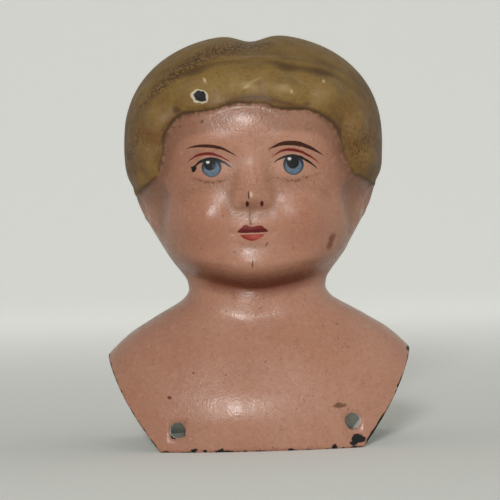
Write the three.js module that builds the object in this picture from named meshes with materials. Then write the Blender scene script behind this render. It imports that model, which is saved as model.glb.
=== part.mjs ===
// Shoulder head of a doll: head, neck and bust plate pressed from painted tinplate.
// A front and a back stamping meet in a lap seam that runs from one shoulder tip, up the neck, over the
// crown and down to the other tip, with solder run along the inside. Millimetres, +Z up, and the face
// looks along -Y. The bottom edges of the two flaps stand at height 0.
import * as THREE from 'three';

// Sheet and lap seam
const SHEET_THICKNESS = 0.5;
const SEAM_CLEARANCE = 0.3;
const LAP_LENGTH = 2;
const LAP_RETURN = 0.5;
const SOLDER_LEG = 1.2;
const SOLDER_CLEARANCE = 0.35;

// Overall form
const BLANK_CROWN_HEIGHT = 108.1;
const HEAD_WIDEST_HEIGHT = 80;
const NECK_HEIGHT = 40.5;
const SHOULDER_TIP_HEIGHT = 24;
const HEAD_WIDTH = 68.6;
const NECK_WIDTH = 36.5;
const SHOULDER_WIDTH = 80;
const FLAP_FOOT_WIDTH = 51.6;
const FLAP_EDGE_BOW = 1.2;

// Depths in front of the seam and behind it
const FOREHEAD_DEPTH = 29.2;
const THROAT_DEPTH = 14.5;
const CHEST_DEPTH = 24.8;
const SHOULDER_FRONT_DEPTH = 19.5;
const BACK_HEAD_DEPTH = 27.5;
const NAPE_DEPTH = 14.2;
const UPPER_BACK_DEPTH = 21.2;
const SHOULDER_BACK_DEPTH = 18.6;
const JAW_RISE = 4.5;

// Crown: two lobes of hair with a valley between them
const CROWN_VALLEY_DEPTH = 2;
const CROWN_VALLEY_REACH = 4.8;
const CROWN_VALLEY_FOOT = 95;

// The face sits a little to one side of the crown's valley
const FACE_SHIFT = -0.8;
const FACE_CENTRE_HEIGHT = 66;

// Eyes and brows
const EYE_SPACING = 20.4;
const EYE_HEIGHT = 71.6;
const EYEBALL_RISE = 0.8;
const EYEBALL_HALF_WIDTH = 6.8;
const EYEBALL_HALF_HEIGHT = 4.8;
const SOCKET_DEPTH = 0.95;
const SOCKET_HALF_WIDTH = 9.6;
const SOCKET_HALF_HEIGHT = 7;
const SOCKET_RAISE = 0.4;
const BROW_RISE = 0.35;
const BROW_RAISE = 6.4;
const BROW_HALF_WIDTH = 9;
const BROW_HALF_HEIGHT = 3.4;

// Nose
const NOSE_RISE = 3.4;
const NOSE_BRIDGE_HEIGHT = 74.5;
const NOSE_TIP_HEIGHT = 64.2;
const NOSE_FOOT_HEIGHT = 60.4;
const NOSE_BRIDGE_HALF_WIDTH = 2.6;
const NOSE_TIP_HALF_WIDTH = 3.1;
const BRIDGE_SLOPE_POWER = 1.5;
const WING_RISE = 0.5;
const WING_OUT = 3;
const WING_HEIGHT = 62.9;
const WING_RADIUS = 2;
const NOSE_CREASE_DEPTH = 0.25;
const NOSE_CREASE_OUT = 5.6;
const NOSE_CREASE_HEIGHT = 60.6;
const NOSE_CREASE_HALF_WIDTH = 2;
const NOSE_CREASE_HALF_HEIGHT = 4;

// Mouth, with lips that curve up towards its corners
const MUZZLE_RISE = 0.6;
const MUZZLE_HEIGHT = 55.8;
const MUZZLE_HALF_WIDTH = 7.4;
const MUZZLE_HALF_HEIGHT = 4.8;
const MOUTH_HEIGHT = 54.95;
const MOUTH_HALF_WIDTH = 4.4;
const MOUTH_CORNER_RAISE = 0.31;
const MOUTH_CORNER_DEPTH = 0.22;
const MOUTH_CORNER_RADIUS = 1.8;
const UPPER_LIP_RISE = 0.42;
const UPPER_LIP_RAISE = 1;
const UPPER_LIP_HALF_HEIGHT = 1.6;
const LOWER_LIP_RISE = 0.5;
const LOWER_LIP_DROP = 1.2;
const LOWER_LIP_HALF_WIDTH = 3.8;
const LOWER_LIP_HALF_HEIGHT = 1.7;
const MOUTH_LINE_DEPTH = 0.3;
const MOUTH_LINE_HALF_HEIGHT = 0.8;

// Cheeks, jowls and chin
const CHEEK_RISE = 1.7;
const CHEEK_OUT = 12.8;
const CHEEK_HEIGHT = 60.2;
const CHEEK_HALF_WIDTH = 9;
const CHEEK_HALF_HEIGHT = 7.6;
const JOWL_RISE = 0.6;
const JOWL_OUT = 14;
const JOWL_HEIGHT = 52;
const JOWL_RADIUS = 9;
const CHIN_RISE = 1.1;
const CHIN_HEIGHT = 47.6;
const CHIN_HALF_WIDTH = 8.6;
const CHIN_HALF_HEIGHT = 5.6;

// Ears: the cheek drops steeply to a crease, and from there the ear rises gently to the seam
const EAR_LINE_OUT = 25.4;
const EAR_LINE_FOOT_HEIGHT = 46;
const EAR_LINE_HEAD_HEIGHT = 70;
const EAR_STEP_RUN = 3.2;
const EAR_CREASE_START_HEIGHT = 49.5;
const EAR_CREASE_FULL_HEIGHT = 55;
const EAR_CREASE_FADE_HEIGHT = 63;
const EAR_CREASE_END_HEIGHT = 70;

// Moulded hair
const HAIR_STEP = 0.9;
const HAIR_STEP_RUN = 1.5;
const HAIR_STEP_START_HEIGHT = 55;
const HAIRLINE_TOP_REACH = 21.3;
const BELOW_EARS_REACH = 80;
const FRINGE_ROLL_RISE = 1;
const FRINGE_ROLL_WIDTH = 13;
const FRINGE_LOCK_RISE = 1.5;
const FRINGE_LOCK_SIZE = 5.4;
const NAPE_HAIR_HEIGHT = 48.4;
const NAPE_NOTCH_DEPTH = 3.2;
const BACK_LOCK_RISE = 1.05;
const BACK_LOCK_ROOT = 5.5;
const BACK_LOCK_WAVE_HEIGHT = 15;
const RELIEF_RUN_OUT = 2.6;

// Sew holes near the bottom corners of the flaps
const SEW_HOLE_DIAMETER = 4;
const SEW_HOLE_LEFT_OUT = 21.2;
const SEW_HOLE_LEFT_HEIGHT = 5.6;
const SEW_HOLE_RIGHT_OUT = 23.2;
const SEW_HOLE_RIGHT_HEIGHT = 6.8;
const BACK_SEW_HOLE_OUT = 22.2;
const BACK_SEW_HOLE_HEIGHT = 6;
const SEW_HOLE_COLLAR = 0.7;

// Shares of a run: [how far up the run, how far from its lower size to its upper size]
const bustFootShare = 1.15;
const bustWidthShares = [[0, 0], [0.35, 0.1], [0.62, 0.32], [0.82, 0.62], [1, 1]];
const shoulderWidthShares = [[0.12, 0.087], [0.24, 0.184], [0.36, 0.3], [0.485, 0.455], [0.606, 0.607],
  [0.727, 0.772], [0.848, 0.922], [0.92, 0.97], [1, 1]];
const faceWidthShares = [[0.06, 0.022], [0.12, 0.11], [0.19, 0.24], [0.29, 0.4], [0.39, 0.544],
  [0.49, 0.675], [0.645, 0.828], [0.8, 0.94], [1, 1]];
const chestDepthShares = [[0, 0], [0.25, 0.05], [0.48, 0.21], [0.74, 0.54], [1, 1]];
const throatDepthShares = [[0.24, 0.41], [0.42, 0.69], [0.6, 0.9], [0.8, 0.98], [1, 1]];
const faceDepthShares = [[0.035, 0.13], [0.085, 0.5], [0.13, 0.745], [0.17, 0.835], [0.2, 0.85],
  [0.3, 0.852], [0.37, 0.862], [0.5, 0.905], [0.65, 0.945], [0.8, 0.955], [0.9, 0.98], [1, 1]];
const upperBackShares = [[0, 0], [0.35, -0.12], [0.65, 0.2], [1, 1]];
const napeShares = [[0.36, 0.55], [0.7, 0.9], [1, 1]];
const backHeadShares = [[0.09, 0.03], [0.17, 0.13], [0.28, 0.36], [0.43, 0.64], [0.6, 0.84], [0.8, 0.97],
  [1, 1]];
const earLineShares = [[0, 0.795], [0.17, 0.906], [0.33, 0.953], [0.58, 0.976], [0.83, 0.984], [1, 1]];
const earDropShare = 0.36;
const bumpSkirtShare = 1.5;

// The hairline round the face: [share of a half turn, from the right ear over the top, share of its reach]
const hairlineReachShares = [[-0.09, 1.48], [-0.05, 1.4], [0.01, 1.4], [0.045, 1.2], [0.09, 1.145],
  [0.15, 1.17], [0.19, 1.2], [0.26, 1.165], [0.3, 1.11], [0.41, 0.965], [0.5, 1], [0.64, 1.04], [0.74, 1.23],
  [0.78, 1.26], [0.875, 1.178], [0.94, 1.178], [0.97, 1.255], [1.02, 1.41], [1.09, 1.48]];
// Locks of the fringe and the hollow between them, in shares of the blank's and the locks' own sizes:
// [out to the side, up from the face's centre, half width, half height, tilt, rise]
const fringeLockShares = [[-0.68, 0.41, 0.81, 1, 0.33, 1], [-0.42, 0.56, 1, 0.85, 0.18, 1],
  [-0.13, 0.61, 0.78, 0.7, 0.27, 0.6], [0.24, 0.58, 1.04, 0.81, -0.09, 1],
  [0.55, 0.56, 0.81, 1, -0.39, 0.87], [0.75, 0.36, 0.7, 1.04, -0.13, 0.73],
  [0.84, 0.18, 0.52, 0.85, -0.07, 0.53], [-0.79, 0.22, 0.63, 0.93, 0.11, 0.73],
  [-0.86, 0.07, 0.44, 0.7, 0.07, 0.47], [-0.01, 0.53, 0.85, 0.31, 0.02, -0.47]];
const CROWN_ROUNDNESS = 2.2;
const FRONT_SQUARENESS = 2.35;
const BACK_SQUARENESS = 2.15;
const COLUMN_CROWDING = 0.55;
const ROW_CROWDING = 0.35;
const NEAR_SEAM_SHARE = 0.95;
const SOLDER_BELLY_SHARE = 0.6;
const solderRunShares = { left: [0.03, 0.4], crown: [0.42, 0.58], right: [0.6, 0.97] };
const FRINGE_FADE_TURN = 0.25;
const BACK_LOCKS = 17;
const backLockMeanShare = 0.62;

// Facet counts
const FRONT_COLUMNS = 40;
const BACK_COLUMNS = 20;
const BUST_ROWS = 5;
const SHOULDER_ROWS = 8;
const FACE_ROWS = 27;
const CROWN_ROWS = 12;
const HOLE_SEGMENTS = 24;

// Working values of the sums: a step of angle or level, halvings of a search, reach of a corner
const PROBE_STEP = 0.004;
const EDGE_HALVINGS = 40;
const FOOT_REACH_SHARE = 0.02;
const MERGE_SHARE = 0.0005;

const FRONT = -1;
const BACK = 1;
const QUARTER_TURN = Math.PI / 2;

// Smooth curve through knots [position, value], level at both ends and without overshoot
function curveThrough(knots) {
  const gaps = knots.slice(1).map((knot, i) => knot[0] - knots[i][0]);
  const slopes = gaps.map((gap, i) => (knots[i + 1][1] - knots[i][1]) / gap);
  const tangents = knots.map((knot, i) => {
    const before = slopes[i - 1];
    const after = slopes[i];
    if (before === undefined || after === undefined || before * after <= 0) return 0;
    const heavyBefore = 2 * gaps[i] + gaps[i - 1];
    const heavyAfter = gaps[i] + 2 * gaps[i - 1];
    return (heavyBefore + heavyAfter) / (heavyBefore / before + heavyAfter / after);
  });
  return (position) => {
    let i = 0;
    while (i < gaps.length - 1 && position > knots[i + 1][0]) i += 1;
    const share = THREE.MathUtils.clamp((position - knots[i][0]) / gaps[i], 0, 1);
    const rest = 1 - share;
    return knots[i][1] * (1 + 2 * share) * rest ** 2 + knots[i + 1][1] * (1 + 2 * rest) * share ** 2
      + gaps[i] * share * rest * (tangents[i] * rest - tangents[i + 1] * share);
  };
}

// Knots of one run, from shares of its heights and of the sizes at its ends
function run(lowHeight, highHeight, lowSize, highSize, shares) {
  return shares.map(([up, across]) => [
    THREE.MathUtils.lerp(lowHeight, highHeight, up), THREE.MathUtils.lerp(lowSize, highSize, across)]);
}

function profile(foot, footShares, shoulder, shoulderShares, neck, headShares, head) {
  return curveThrough([
    ...run(0, SHOULDER_TIP_HEIGHT, foot, shoulder, footShares),
    ...run(SHOULDER_TIP_HEIGHT, NECK_HEIGHT, shoulder, neck, shoulderShares),
    ...run(NECK_HEIGHT, HEAD_WIDEST_HEIGHT, neck, head, headShares)]);
}

// The blank spreads on below the shoulder tips, beyond the edges of the flaps that are cut from it
const bodyHalfWidth = profile(bustFootShare * SHOULDER_WIDTH / 2, bustWidthShares, SHOULDER_WIDTH / 2,
  shoulderWidthShares, NECK_WIDTH / 2, faceWidthShares, HEAD_WIDTH / 2);
const bodyFrontDepth = profile(CHEST_DEPTH, chestDepthShares, SHOULDER_FRONT_DEPTH, throatDepthShares,
  THROAT_DEPTH, faceDepthShares, FOREHEAD_DEPTH);
const bodyBackDepth = profile(UPPER_BACK_DEPTH, upperBackShares, SHOULDER_BACK_DEPTH, napeShares,
  NAPE_DEPTH, backHeadShares, BACK_HEAD_DEPTH);

// Above the widest height every size closes in to the crown along a rounded quarter
function crownShare(height) {
  const up = THREE.MathUtils.clamp(
    (height - HEAD_WIDEST_HEIGHT) / (BLANK_CROWN_HEIGHT - HEAD_WIDEST_HEIGHT), 0, 1);
  return (1 - up ** CROWN_ROUNDNESS) ** (1 / CROWN_ROUNDNESS);
}

const halfWidth = (height) => bodyHalfWidth(height) * crownShare(height);

// Half width of a flap, whose side edge bows out a little from the foot corner to the shoulder tip
function flapHalfWidth(height) {
  const up = height / SHOULDER_TIP_HEIGHT;
  const straight = THREE.MathUtils.lerp(FLAP_FOOT_WIDTH, SHOULDER_WIDTH, up) / 2;
  return straight + FLAP_EDGE_BOW * Math.sin(Math.PI * up);
}

// Height at which the column at this angle round the bust meets the flap's edge
function edgeHeight(angle) {
  const out = Math.abs(Math.sin(angle));
  if (out * halfWidth(0) <= FLAP_FOOT_WIDTH / 2 + SHEET_THICKNESS * FOOT_REACH_SHARE) return 0;
  let low = 0;
  let high = SHOULDER_TIP_HEIGHT;
  for (let halving = 0; halving < EDGE_HALVINGS; halving += 1) {
    const middle = (low + high) / 2;
    if (out * halfWidth(middle) > flapHalfWidth(middle)) low = middle;
    else high = middle;
  }
  return high;
}

// Level runs from 0 at the flap's edge, over 1 at the shoulder tips, 2 at the neck and 3 at the widest
// height, to 4 at the crown
function heightAt(angle, level) {
  if (level < 1) return THREE.MathUtils.lerp(edgeHeight(angle), SHOULDER_TIP_HEIGHT, level);
  if (level < 2) return THREE.MathUtils.lerp(SHOULDER_TIP_HEIGHT, NECK_HEIGHT, level - 1);
  if (level < 3) return THREE.MathUtils.lerp(NECK_HEIGHT, HEAD_WIDEST_HEIGHT, level - 2);
  const up = Math.sin(Math.min(level - 3, 1) * QUARTER_TURN) ** (2 / CROWN_ROUNDNESS);
  return THREE.MathUtils.lerp(HEAD_WIDEST_HEIGHT, BLANK_CROWN_HEIGHT, up);
}

// Smooth round bump that is 1 at its middle and fades out a little beyond its half sizes
function bump(across, up, halfAcross, halfUp) {
  const distance = ((across / halfAcross) ** 2 + (up / halfUp) ** 2) / bumpSkirtShare;
  return distance < 1 ? (1 - distance) ** 3 : 0;
}

const ramp = THREE.MathUtils.smoothstep;

function eyeRelief(x, z) {
  const out = Math.abs(x - FACE_SHIFT) - EYE_SPACING / 2;
  const up = z - EYE_HEIGHT;
  return EYEBALL_RISE * bump(out, up, EYEBALL_HALF_WIDTH, EYEBALL_HALF_HEIGHT)
    - SOCKET_DEPTH * bump(out, up - SOCKET_RAISE, SOCKET_HALF_WIDTH, SOCKET_HALF_HEIGHT)
    + BROW_RISE * bump(out, up - BROW_RAISE, BROW_HALF_WIDTH, BROW_HALF_HEIGHT);
}

function noseRelief(x, z) {
  const across = x - FACE_SHIFT;
  const down = THREE.MathUtils.clamp(
    (NOSE_BRIDGE_HEIGHT - z) / (NOSE_BRIDGE_HEIGHT - NOSE_TIP_HEIGHT), 0, 1);
  const along = z > NOSE_TIP_HEIGHT
    ? down ** BRIDGE_SLOPE_POWER
    : ramp(z, NOSE_FOOT_HEIGHT, NOSE_TIP_HEIGHT);
  const spread = THREE.MathUtils.lerp(NOSE_BRIDGE_HALF_WIDTH, NOSE_TIP_HALF_WIDTH, down);
  const wings = WING_RISE * bump(Math.abs(across) - WING_OUT, z - WING_HEIGHT, WING_RADIUS, WING_RADIUS);
  const creases = NOSE_CREASE_DEPTH * bump(Math.abs(across) - NOSE_CREASE_OUT, z - NOSE_CREASE_HEIGHT,
    NOSE_CREASE_HALF_WIDTH, NOSE_CREASE_HALF_HEIGHT);
  return NOSE_RISE * along * Math.exp(-((across / spread) ** 2)) + wings - creases;
}

function mouthRelief(x, z) {
  const across = x - FACE_SHIFT;
  const up = z - MOUTH_HEIGHT - MOUTH_CORNER_RAISE * (across / MOUTH_HALF_WIDTH) ** 2;
  const muzzle = MUZZLE_RISE * bump(across, z - MUZZLE_HEIGHT, MUZZLE_HALF_WIDTH, MUZZLE_HALF_HEIGHT);
  const upper = UPPER_LIP_RISE * bump(across, up - UPPER_LIP_RAISE, MOUTH_HALF_WIDTH, UPPER_LIP_HALF_HEIGHT);
  const lower = LOWER_LIP_RISE
    * bump(across, up + LOWER_LIP_DROP, LOWER_LIP_HALF_WIDTH, LOWER_LIP_HALF_HEIGHT);
  const line = MOUTH_LINE_DEPTH * bump(across, up, MOUTH_HALF_WIDTH, MOUTH_LINE_HALF_HEIGHT);
  const corners = MOUTH_CORNER_DEPTH
    * bump(Math.abs(across) - MOUTH_HALF_WIDTH, up, MOUTH_CORNER_RADIUS, MOUTH_CORNER_RADIUS);
  return muzzle + upper + lower - line - corners;
}

function cheekAndChinRelief(x, z) {
  const across = x - FACE_SHIFT;
  const out = Math.abs(across);
  return CHEEK_RISE * bump(out - CHEEK_OUT, z - CHEEK_HEIGHT, CHEEK_HALF_WIDTH, CHEEK_HALF_HEIGHT)
    + JOWL_RISE * bump(out - JOWL_OUT, z - JOWL_HEIGHT, JOWL_RADIUS, JOWL_RADIUS)
    + CHIN_RISE * bump(across, z - CHIN_HEIGHT, CHIN_HALF_WIDTH, CHIN_HALF_HEIGHT);
}

// Half width at which each height's cheek ends and its ear begins
const earLine = curveThrough(
  run(EAR_LINE_FOOT_HEIGHT, EAR_LINE_HEAD_HEIGHT, 0, EAR_LINE_OUT, earLineShares));

function earRelief(x, z) {
  const room = Math.max(halfWidth(z) - earLine(z), 0);
  const beyond = Math.abs(x) - earLine(z);
  const across = ramp(beyond, -EAR_STEP_RUN, 0) * (1 - ramp(beyond, 0, room));
  return -earDropShare * room * across
    * ramp(z, EAR_CREASE_START_HEIGHT, EAR_CREASE_FULL_HEIGHT)
    * (1 - ramp(z, EAR_CREASE_FADE_HEIGHT, EAR_CREASE_END_HEIGHT));
}

const hairlineReach = curveThrough(
  hairlineReachShares.map(([turn, reach]) => [turn * Math.PI, reach * HAIRLINE_TOP_REACH]));

// How far this place lies outside the hairline, measured from the face's centre
function beyondHairline(x, z) {
  const turn = Math.atan2(z - FACE_CENTRE_HEIGHT, x);
  const fromRight = turn < -QUARTER_TURN ? turn + 2 * Math.PI : turn;
  const [first] = hairlineReachShares[0];
  const last = 1 - first;
  const onHead = fromRight > first * Math.PI && fromRight < last * Math.PI;
  return Math.hypot(x, z - FACE_CENTRE_HEIGHT) - (onHead ? hairlineReach(fromRight) : BELOW_EARS_REACH);
}

function fringeLock(x, z, [out, up, halfWidthShare, halfHeightShare, tilt, rise]) {
  const across = x - out * HEAD_WIDTH / 2;
  const above = z - THREE.MathUtils.lerp(FACE_CENTRE_HEIGHT, BLANK_CROWN_HEIGHT, up);
  const cos = Math.cos(tilt * QUARTER_TURN);
  const sin = Math.sin(tilt * QUARTER_TURN);
  return FRINGE_LOCK_RISE * rise * bump(across * cos + above * sin, above * cos - across * sin,
    halfWidthShare * FRINGE_LOCK_SIZE, halfHeightShare * FRINGE_LOCK_SIZE);
}

// The fringe frames the face: the skin lies a step below the hair, whose edge swells in a roll of locks
function fringeRelief(x, z) {
  const beyond = beyondHairline(x, z);
  const onHair = ramp(beyond, -HAIR_STEP_RUN / 2, HAIR_STEP_RUN / 2);
  const turn = Math.atan2(z - FACE_CENTRE_HEIGHT, Math.abs(x));
  const across = THREE.MathUtils.clamp(beyond / FRINGE_ROLL_WIDTH, 0, 1);
  const roll = FRINGE_ROLL_RISE * Math.sin(Math.PI * across) ** 2 * ramp(turn, 0, FRINGE_FADE_TURN);
  const locks = fringeLockShares.reduce((sum, shares) => sum + fringeLock(x, z, shares), 0);
  return roll + locks * onHair
    - HAIR_STEP * (1 - onHair) * ramp(z, HAIR_STEP_START_HEIGHT, FACE_CENTRE_HEIGHT);
}

// Combed locks run down the back of the head in waves and end in points at the nape
function backHairRelief(angle, z) {
  const wave = Math.sin(z / BACK_LOCK_WAVE_HEIGHT * Math.PI);
  const lock = Math.abs(Math.sin(BACK_LOCKS / 2 * angle + wave));
  const foot = NAPE_HAIR_HEIGHT - NAPE_NOTCH_DEPTH * lock;
  const onSkin = 1 - ramp(z, foot - HAIR_STEP_RUN / 2, foot + HAIR_STEP_RUN / 2);
  const fadeUp = 1 - ramp(z, HEAD_WIDEST_HEIGHT, CROWN_VALLEY_FOOT);
  return BACK_LOCK_RISE * (lock - backLockMeanShare) * ramp(z, foot, foot + BACK_LOCK_ROOT) * fadeUp
    - HAIR_STEP * onSkin * ramp(z, SHOULDER_TIP_HEIGHT, NECK_HEIGHT);
}

function relief(side, angle, blank) {
  if (side === BACK) return backHairRelief(angle, blank.z);
  return eyeRelief(blank.x, blank.z) + noseRelief(blank.x, blank.z) + mouthRelief(blank.x, blank.z)
    + cheekAndChinRelief(blank.x, blank.z) + earRelief(blank.x, blank.z) + fringeRelief(blank.x, blank.z);
}

// The smooth blank: each height is a rounded section, closed in to the seam at both sides
function blankPoint(side, angle, level) {
  const z = heightAt(angle, level);
  const out = Math.sin(angle);
  const squareness = side === FRONT ? FRONT_SQUARENESS : BACK_SQUARENESS;
  const bulge = Math.max(1 - Math.abs(out) ** squareness, 0) ** (1 / squareness);
  const bodyDepth = side === FRONT ? bodyFrontDepth(z - JAW_RISE * out ** 2) : bodyBackDepth(z);
  const depth = crownShare(z) * bodyDepth;
  const x = halfWidth(z) * out;
  const valley = CROWN_VALLEY_DEPTH * Math.exp(-((x / CROWN_VALLEY_REACH) ** 2))
    * ramp(z, CROWN_VALLEY_FOOT, BLANK_CROWN_HEIGHT);
  return new THREE.Vector3(x, side * depth * bulge, z - valley);
}

// Outward normal of a surface given by angle and level, level with the seam plane at the seam itself
function normalOf(surface, side, angle, level) {
  if (level >= 4) return new THREE.Vector3(0, 0, 1);
  const atSeam = Math.abs(angle) > QUARTER_TURN - PROBE_STEP;
  const lowLevel = Math.max(level - PROBE_STEP, atSeam ? 1 : 0);
  const along = surface(angle, Math.max(level, lowLevel) + PROBE_STEP).sub(surface(angle, lowLevel));
  if (atSeam) return new THREE.Vector3(along.z, 0, -along.x).multiplyScalar(Math.sign(angle)).normalize();
  const around = surface(angle + PROBE_STEP, level).sub(surface(angle - PROBE_STEP, level));
  return around.cross(along).multiplyScalar(-side).normalize();
}

function skinPoint(side, angle, level) {
  const blank = blankPoint(side, angle, level);
  const surface = (a, v) => blankPoint(side, a, v);
  const rise = relief(side, angle, blank) * ramp(Math.abs(blank.y), 0, RELIEF_RUN_OUT);
  return rise === 0 ? blank : blank.addScaledVector(normalOf(surface, side, angle, level), rise);
}

// Inner face of the sheet, square to the skin, with the flap's foot kept flat
function innerPoint(side, angle, level) {
  const surface = (a, v) => skinPoint(side, a, v);
  const normal = normalOf(surface, side, angle, level);
  if (level === 0 && edgeHeight(angle) === 0) normal.setZ(0).normalize();
  return skinPoint(side, angle, level).addScaledVector(normal, -SHEET_THICKNESS);
}

// Column angles crowd towards the middle of the face, and one falls on each foot corner of the flap
function columnAngles(count) {
  const corner = Math.asin(FLAP_FOOT_WIDTH / 2 / halfWidth(0));
  const angles = Array.from({ length: count + 1 }, (_, i) => {
    const share = 2 * i / count - 1;
    return QUARTER_TURN * share * (COLUMN_CROWDING + (1 - COLUMN_CROWDING) * share ** 2);
  });
  for (const target of [-corner, corner]) {
    const gaps = angles.map((angle) => Math.abs(angle - target));
    angles[gaps.indexOf(Math.min(...gaps))] = target;
  }
  return angles;
}

// Row levels crowd towards the mouth and nose
function rowLevels() {
  const counts = [BUST_ROWS, SHOULDER_ROWS, FACE_ROWS, CROWN_ROWS];
  const levels = counts.flatMap((count, start) => Array.from({ length: count }, (_, i) => {
    const crowding = count === FACE_ROWS ? ROW_CROWDING : 0;
    return start + i / count + crowding * Math.sin(2 * Math.PI * i / count) / (2 * Math.PI);
  }));
  return [...levels, 4];
}

// Triangles between two rows of points, in the order that faces out
function strip(triangles, row, nextRow) {
  for (let i = 0; i + 1 < row.length; i += 1) {
    triangles.push([row[i], row[i + 1], nextRow[i + 1]], [row[i], nextRow[i + 1], nextRow[i]]);
  }
}

const turnedOver = ([a, b, c]) => [a, c, b];

function sheet(triangles, rows) {
  for (let j = 0; j + 1 < rows.length; j += 1) strip(triangles, rows[j], rows[j + 1]);
}

// Closed body from triangles of points: equal corners are merged and collapsed triangles dropped
function bodyFrom(triangles) {
  const merged = SHEET_THICKNESS * MERGE_SHARE;
  const places = new Map();
  const positions = [];
  const index = [];
  const number = (point) => {
    const key = point.toArray().map((value) => Math.round(value / merged)).join(' ');
    if (!places.has(key)) {
      places.set(key, positions.length / 3);
      positions.push(...point.toArray());
    }
    return places.get(key);
  };
  for (const corners of triangles) {
    const [a, b, c] = corners.map(number);
    if (a === b || b === c || c === a) continue;
    index.push(a, b, c);
  }
  const geometry = new THREE.BufferGeometry();
  geometry.setAttribute('position', new THREE.Float32BufferAttribute(positions, 3));
  geometry.setIndex(index);
  return geometry;
}

// Angle and level of the flap's skin at this place as seen from the front
function flapPlace(x, z) {
  const angle = Math.asin(x / halfWidth(z));
  const edge = edgeHeight(angle);
  return [angle, (z - edge) / (SHOULDER_TIP_HEIGHT - edge)];
}

// Rim of a round sew hole pierced square through the flap, as angles and levels
function sewHoleRim(side, { x, z }) {
  const [angle, level] = flapPlace(x, z);
  const normal = normalOf((a, v) => blankPoint(side, a, v), side, angle, level);
  const across = new THREE.Vector3(0, 0, 1).cross(normal).normalize();
  const up = normal.clone().cross(across);
  return Array.from({ length: HOLE_SEGMENTS }, (_, i) => {
    const turn = 2 * Math.PI * i / HOLE_SEGMENTS;
    const step = across.clone().multiplyScalar(Math.cos(turn)).addScaledVector(up, Math.sin(turn));
    step.multiplyScalar(SEW_HOLE_DIAMETER / 2);
    return flapPlace(x + step.x, z + step.z);
  });
}

// Block of grid cells that holds a sew hole and its collar: first and last column, first and last row
function blockRound({ x, z }, angles, levels) {
  const reach = SEW_HOLE_DIAMETER / 2 + SEW_HOLE_COLLAR;
  const across = angles.map((angle) => halfWidth(z) * Math.sin(angle));
  const left = across.findLastIndex((place) => place < x - reach);
  const right = across.findIndex((place) => place > x + reach);
  const columns = angles.slice(left, right + 1);
  const below = (level) => columns.every((angle) => heightAt(angle, level) < z - reach);
  const above = (level) => columns.every((angle) => heightAt(angle, level) > z + reach);
  return { left, right, foot: Math.max(levels.findLastIndex(below), 0), head: levels.findIndex(above) };
}

// Grid places on the border of a block
function borderOf({ left, right, foot, head }, angles, levels) {
  const border = [];
  for (let i = left; i < right; i += 1) {
    border.push([angles[i], levels[foot]], [angles[i + 1], levels[head]]);
  }
  for (let j = foot; j < head; j += 1) {
    border.push([angles[right], levels[j]], [angles[left], levels[j + 1]]);
  }
  return border;
}

// Triangles that fill a block from its border in to the rim of its sew hole, going once round the hole
function collarTriangles(place, side, hole, border, rim) {
  const inTurn = (spots) => spots.map(([angle, level]) => {
    const { x, z } = blankPoint(side, angle, level);
    return { turn: Math.atan2(z - hole.z, x - hole.x), corner: place(side, angle, level) };
  }).sort((a, b) => a.turn - b.turn);
  const outer = inTurn(border);
  const inner = inTurn(rim);
  const turnAt = (ring, i) => ring[i % ring.length].turn + 2 * Math.PI * Math.floor(i / ring.length);
  const cornerAt = (ring, i) => ring[i % ring.length].corner;
  const triangles = [];
  let i = 0;
  let j = 0;
  while (i < outer.length || j < inner.length) {
    const stepsOut = j >= inner.length || (i < outer.length && turnAt(outer, i + 1) < turnAt(inner, j + 1));
    const next = stepsOut ? cornerAt(outer, i + 1) : cornerAt(inner, j + 1);
    triangles.push([cornerAt(outer, i), next, cornerAt(inner, j)]);
    if (stepsOut) i += 1;
    else j += 1;
  }
  return triangles;
}

// One face of a stamping: a grid of columns and rows, and a collar round each sew hole
function faceTriangles(place, side, angles, levels, holes) {
  const blocks = holes.map((hole) => blockRound(hole, angles, levels));
  const rows = levels.map((level) => angles.map((angle) => place(side, angle, level)));
  const triangles = [];
  for (let j = 0; j + 1 < levels.length; j += 1) {
    for (let i = 0; i + 1 < angles.length; i += 1) {
      const inBlock = ({ left, right, foot, head }) => i >= left && i < right && j >= foot && j < head;
      if (!blocks.some(inBlock)) strip(triangles, rows[j].slice(i, i + 2), rows[j + 1].slice(i, i + 2));
    }
  }
  holes.forEach((hole, n) => {
    const border = borderOf(blocks[n], angles, levels);
    triangles.push(...collarTriangles(place, side, hole, border, sewHoleRim(side, hole)));
  });
  return { rows, triangles };
}

// Wall of each sew hole, between the rims on two faces of the sheet
function holeWalls(place, farPlace, side, holes) {
  const triangles = [];
  for (const hole of holes) {
    const rim = sewHoleRim(side, hole);
    const closed = [...rim, rim[0]];
    const farRim = closed.map((spot) => farPlace(side, ...spot));
    strip(triangles, closed.map((spot) => place(side, ...spot)), farRim);
  }
  return triangles;
}

// A step of the seam: the rim of the skin there, and the way in from it square to the outline
function seamStep(angle, level) {
  return {
    point: blankPoint(FRONT, angle, level),
    inward: normalOf((a, v) => blankPoint(FRONT, a, v), FRONT, angle, level).negate(),
  };
}

// The whole seam as seen from the front, from the left tip over the crown to the right tip
function seamPath() {
  const levels = rowLevels().filter((level) => level >= 1);
  const left = levels.map((level) => seamStep(-QUARTER_TURN, level));
  const right = levels.map((level) => seamStep(QUARTER_TURN, level));
  return [...left, ...right.reverse().slice(1)];
}

// Place on a seam section: this far in from the rim and this far behind the seam plane
function seamPlace({ point, inward }, inset, behind) {
  return point.clone().addScaledVector(inward, inset).add(new THREE.Vector3(0, behind, 0));
}

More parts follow.
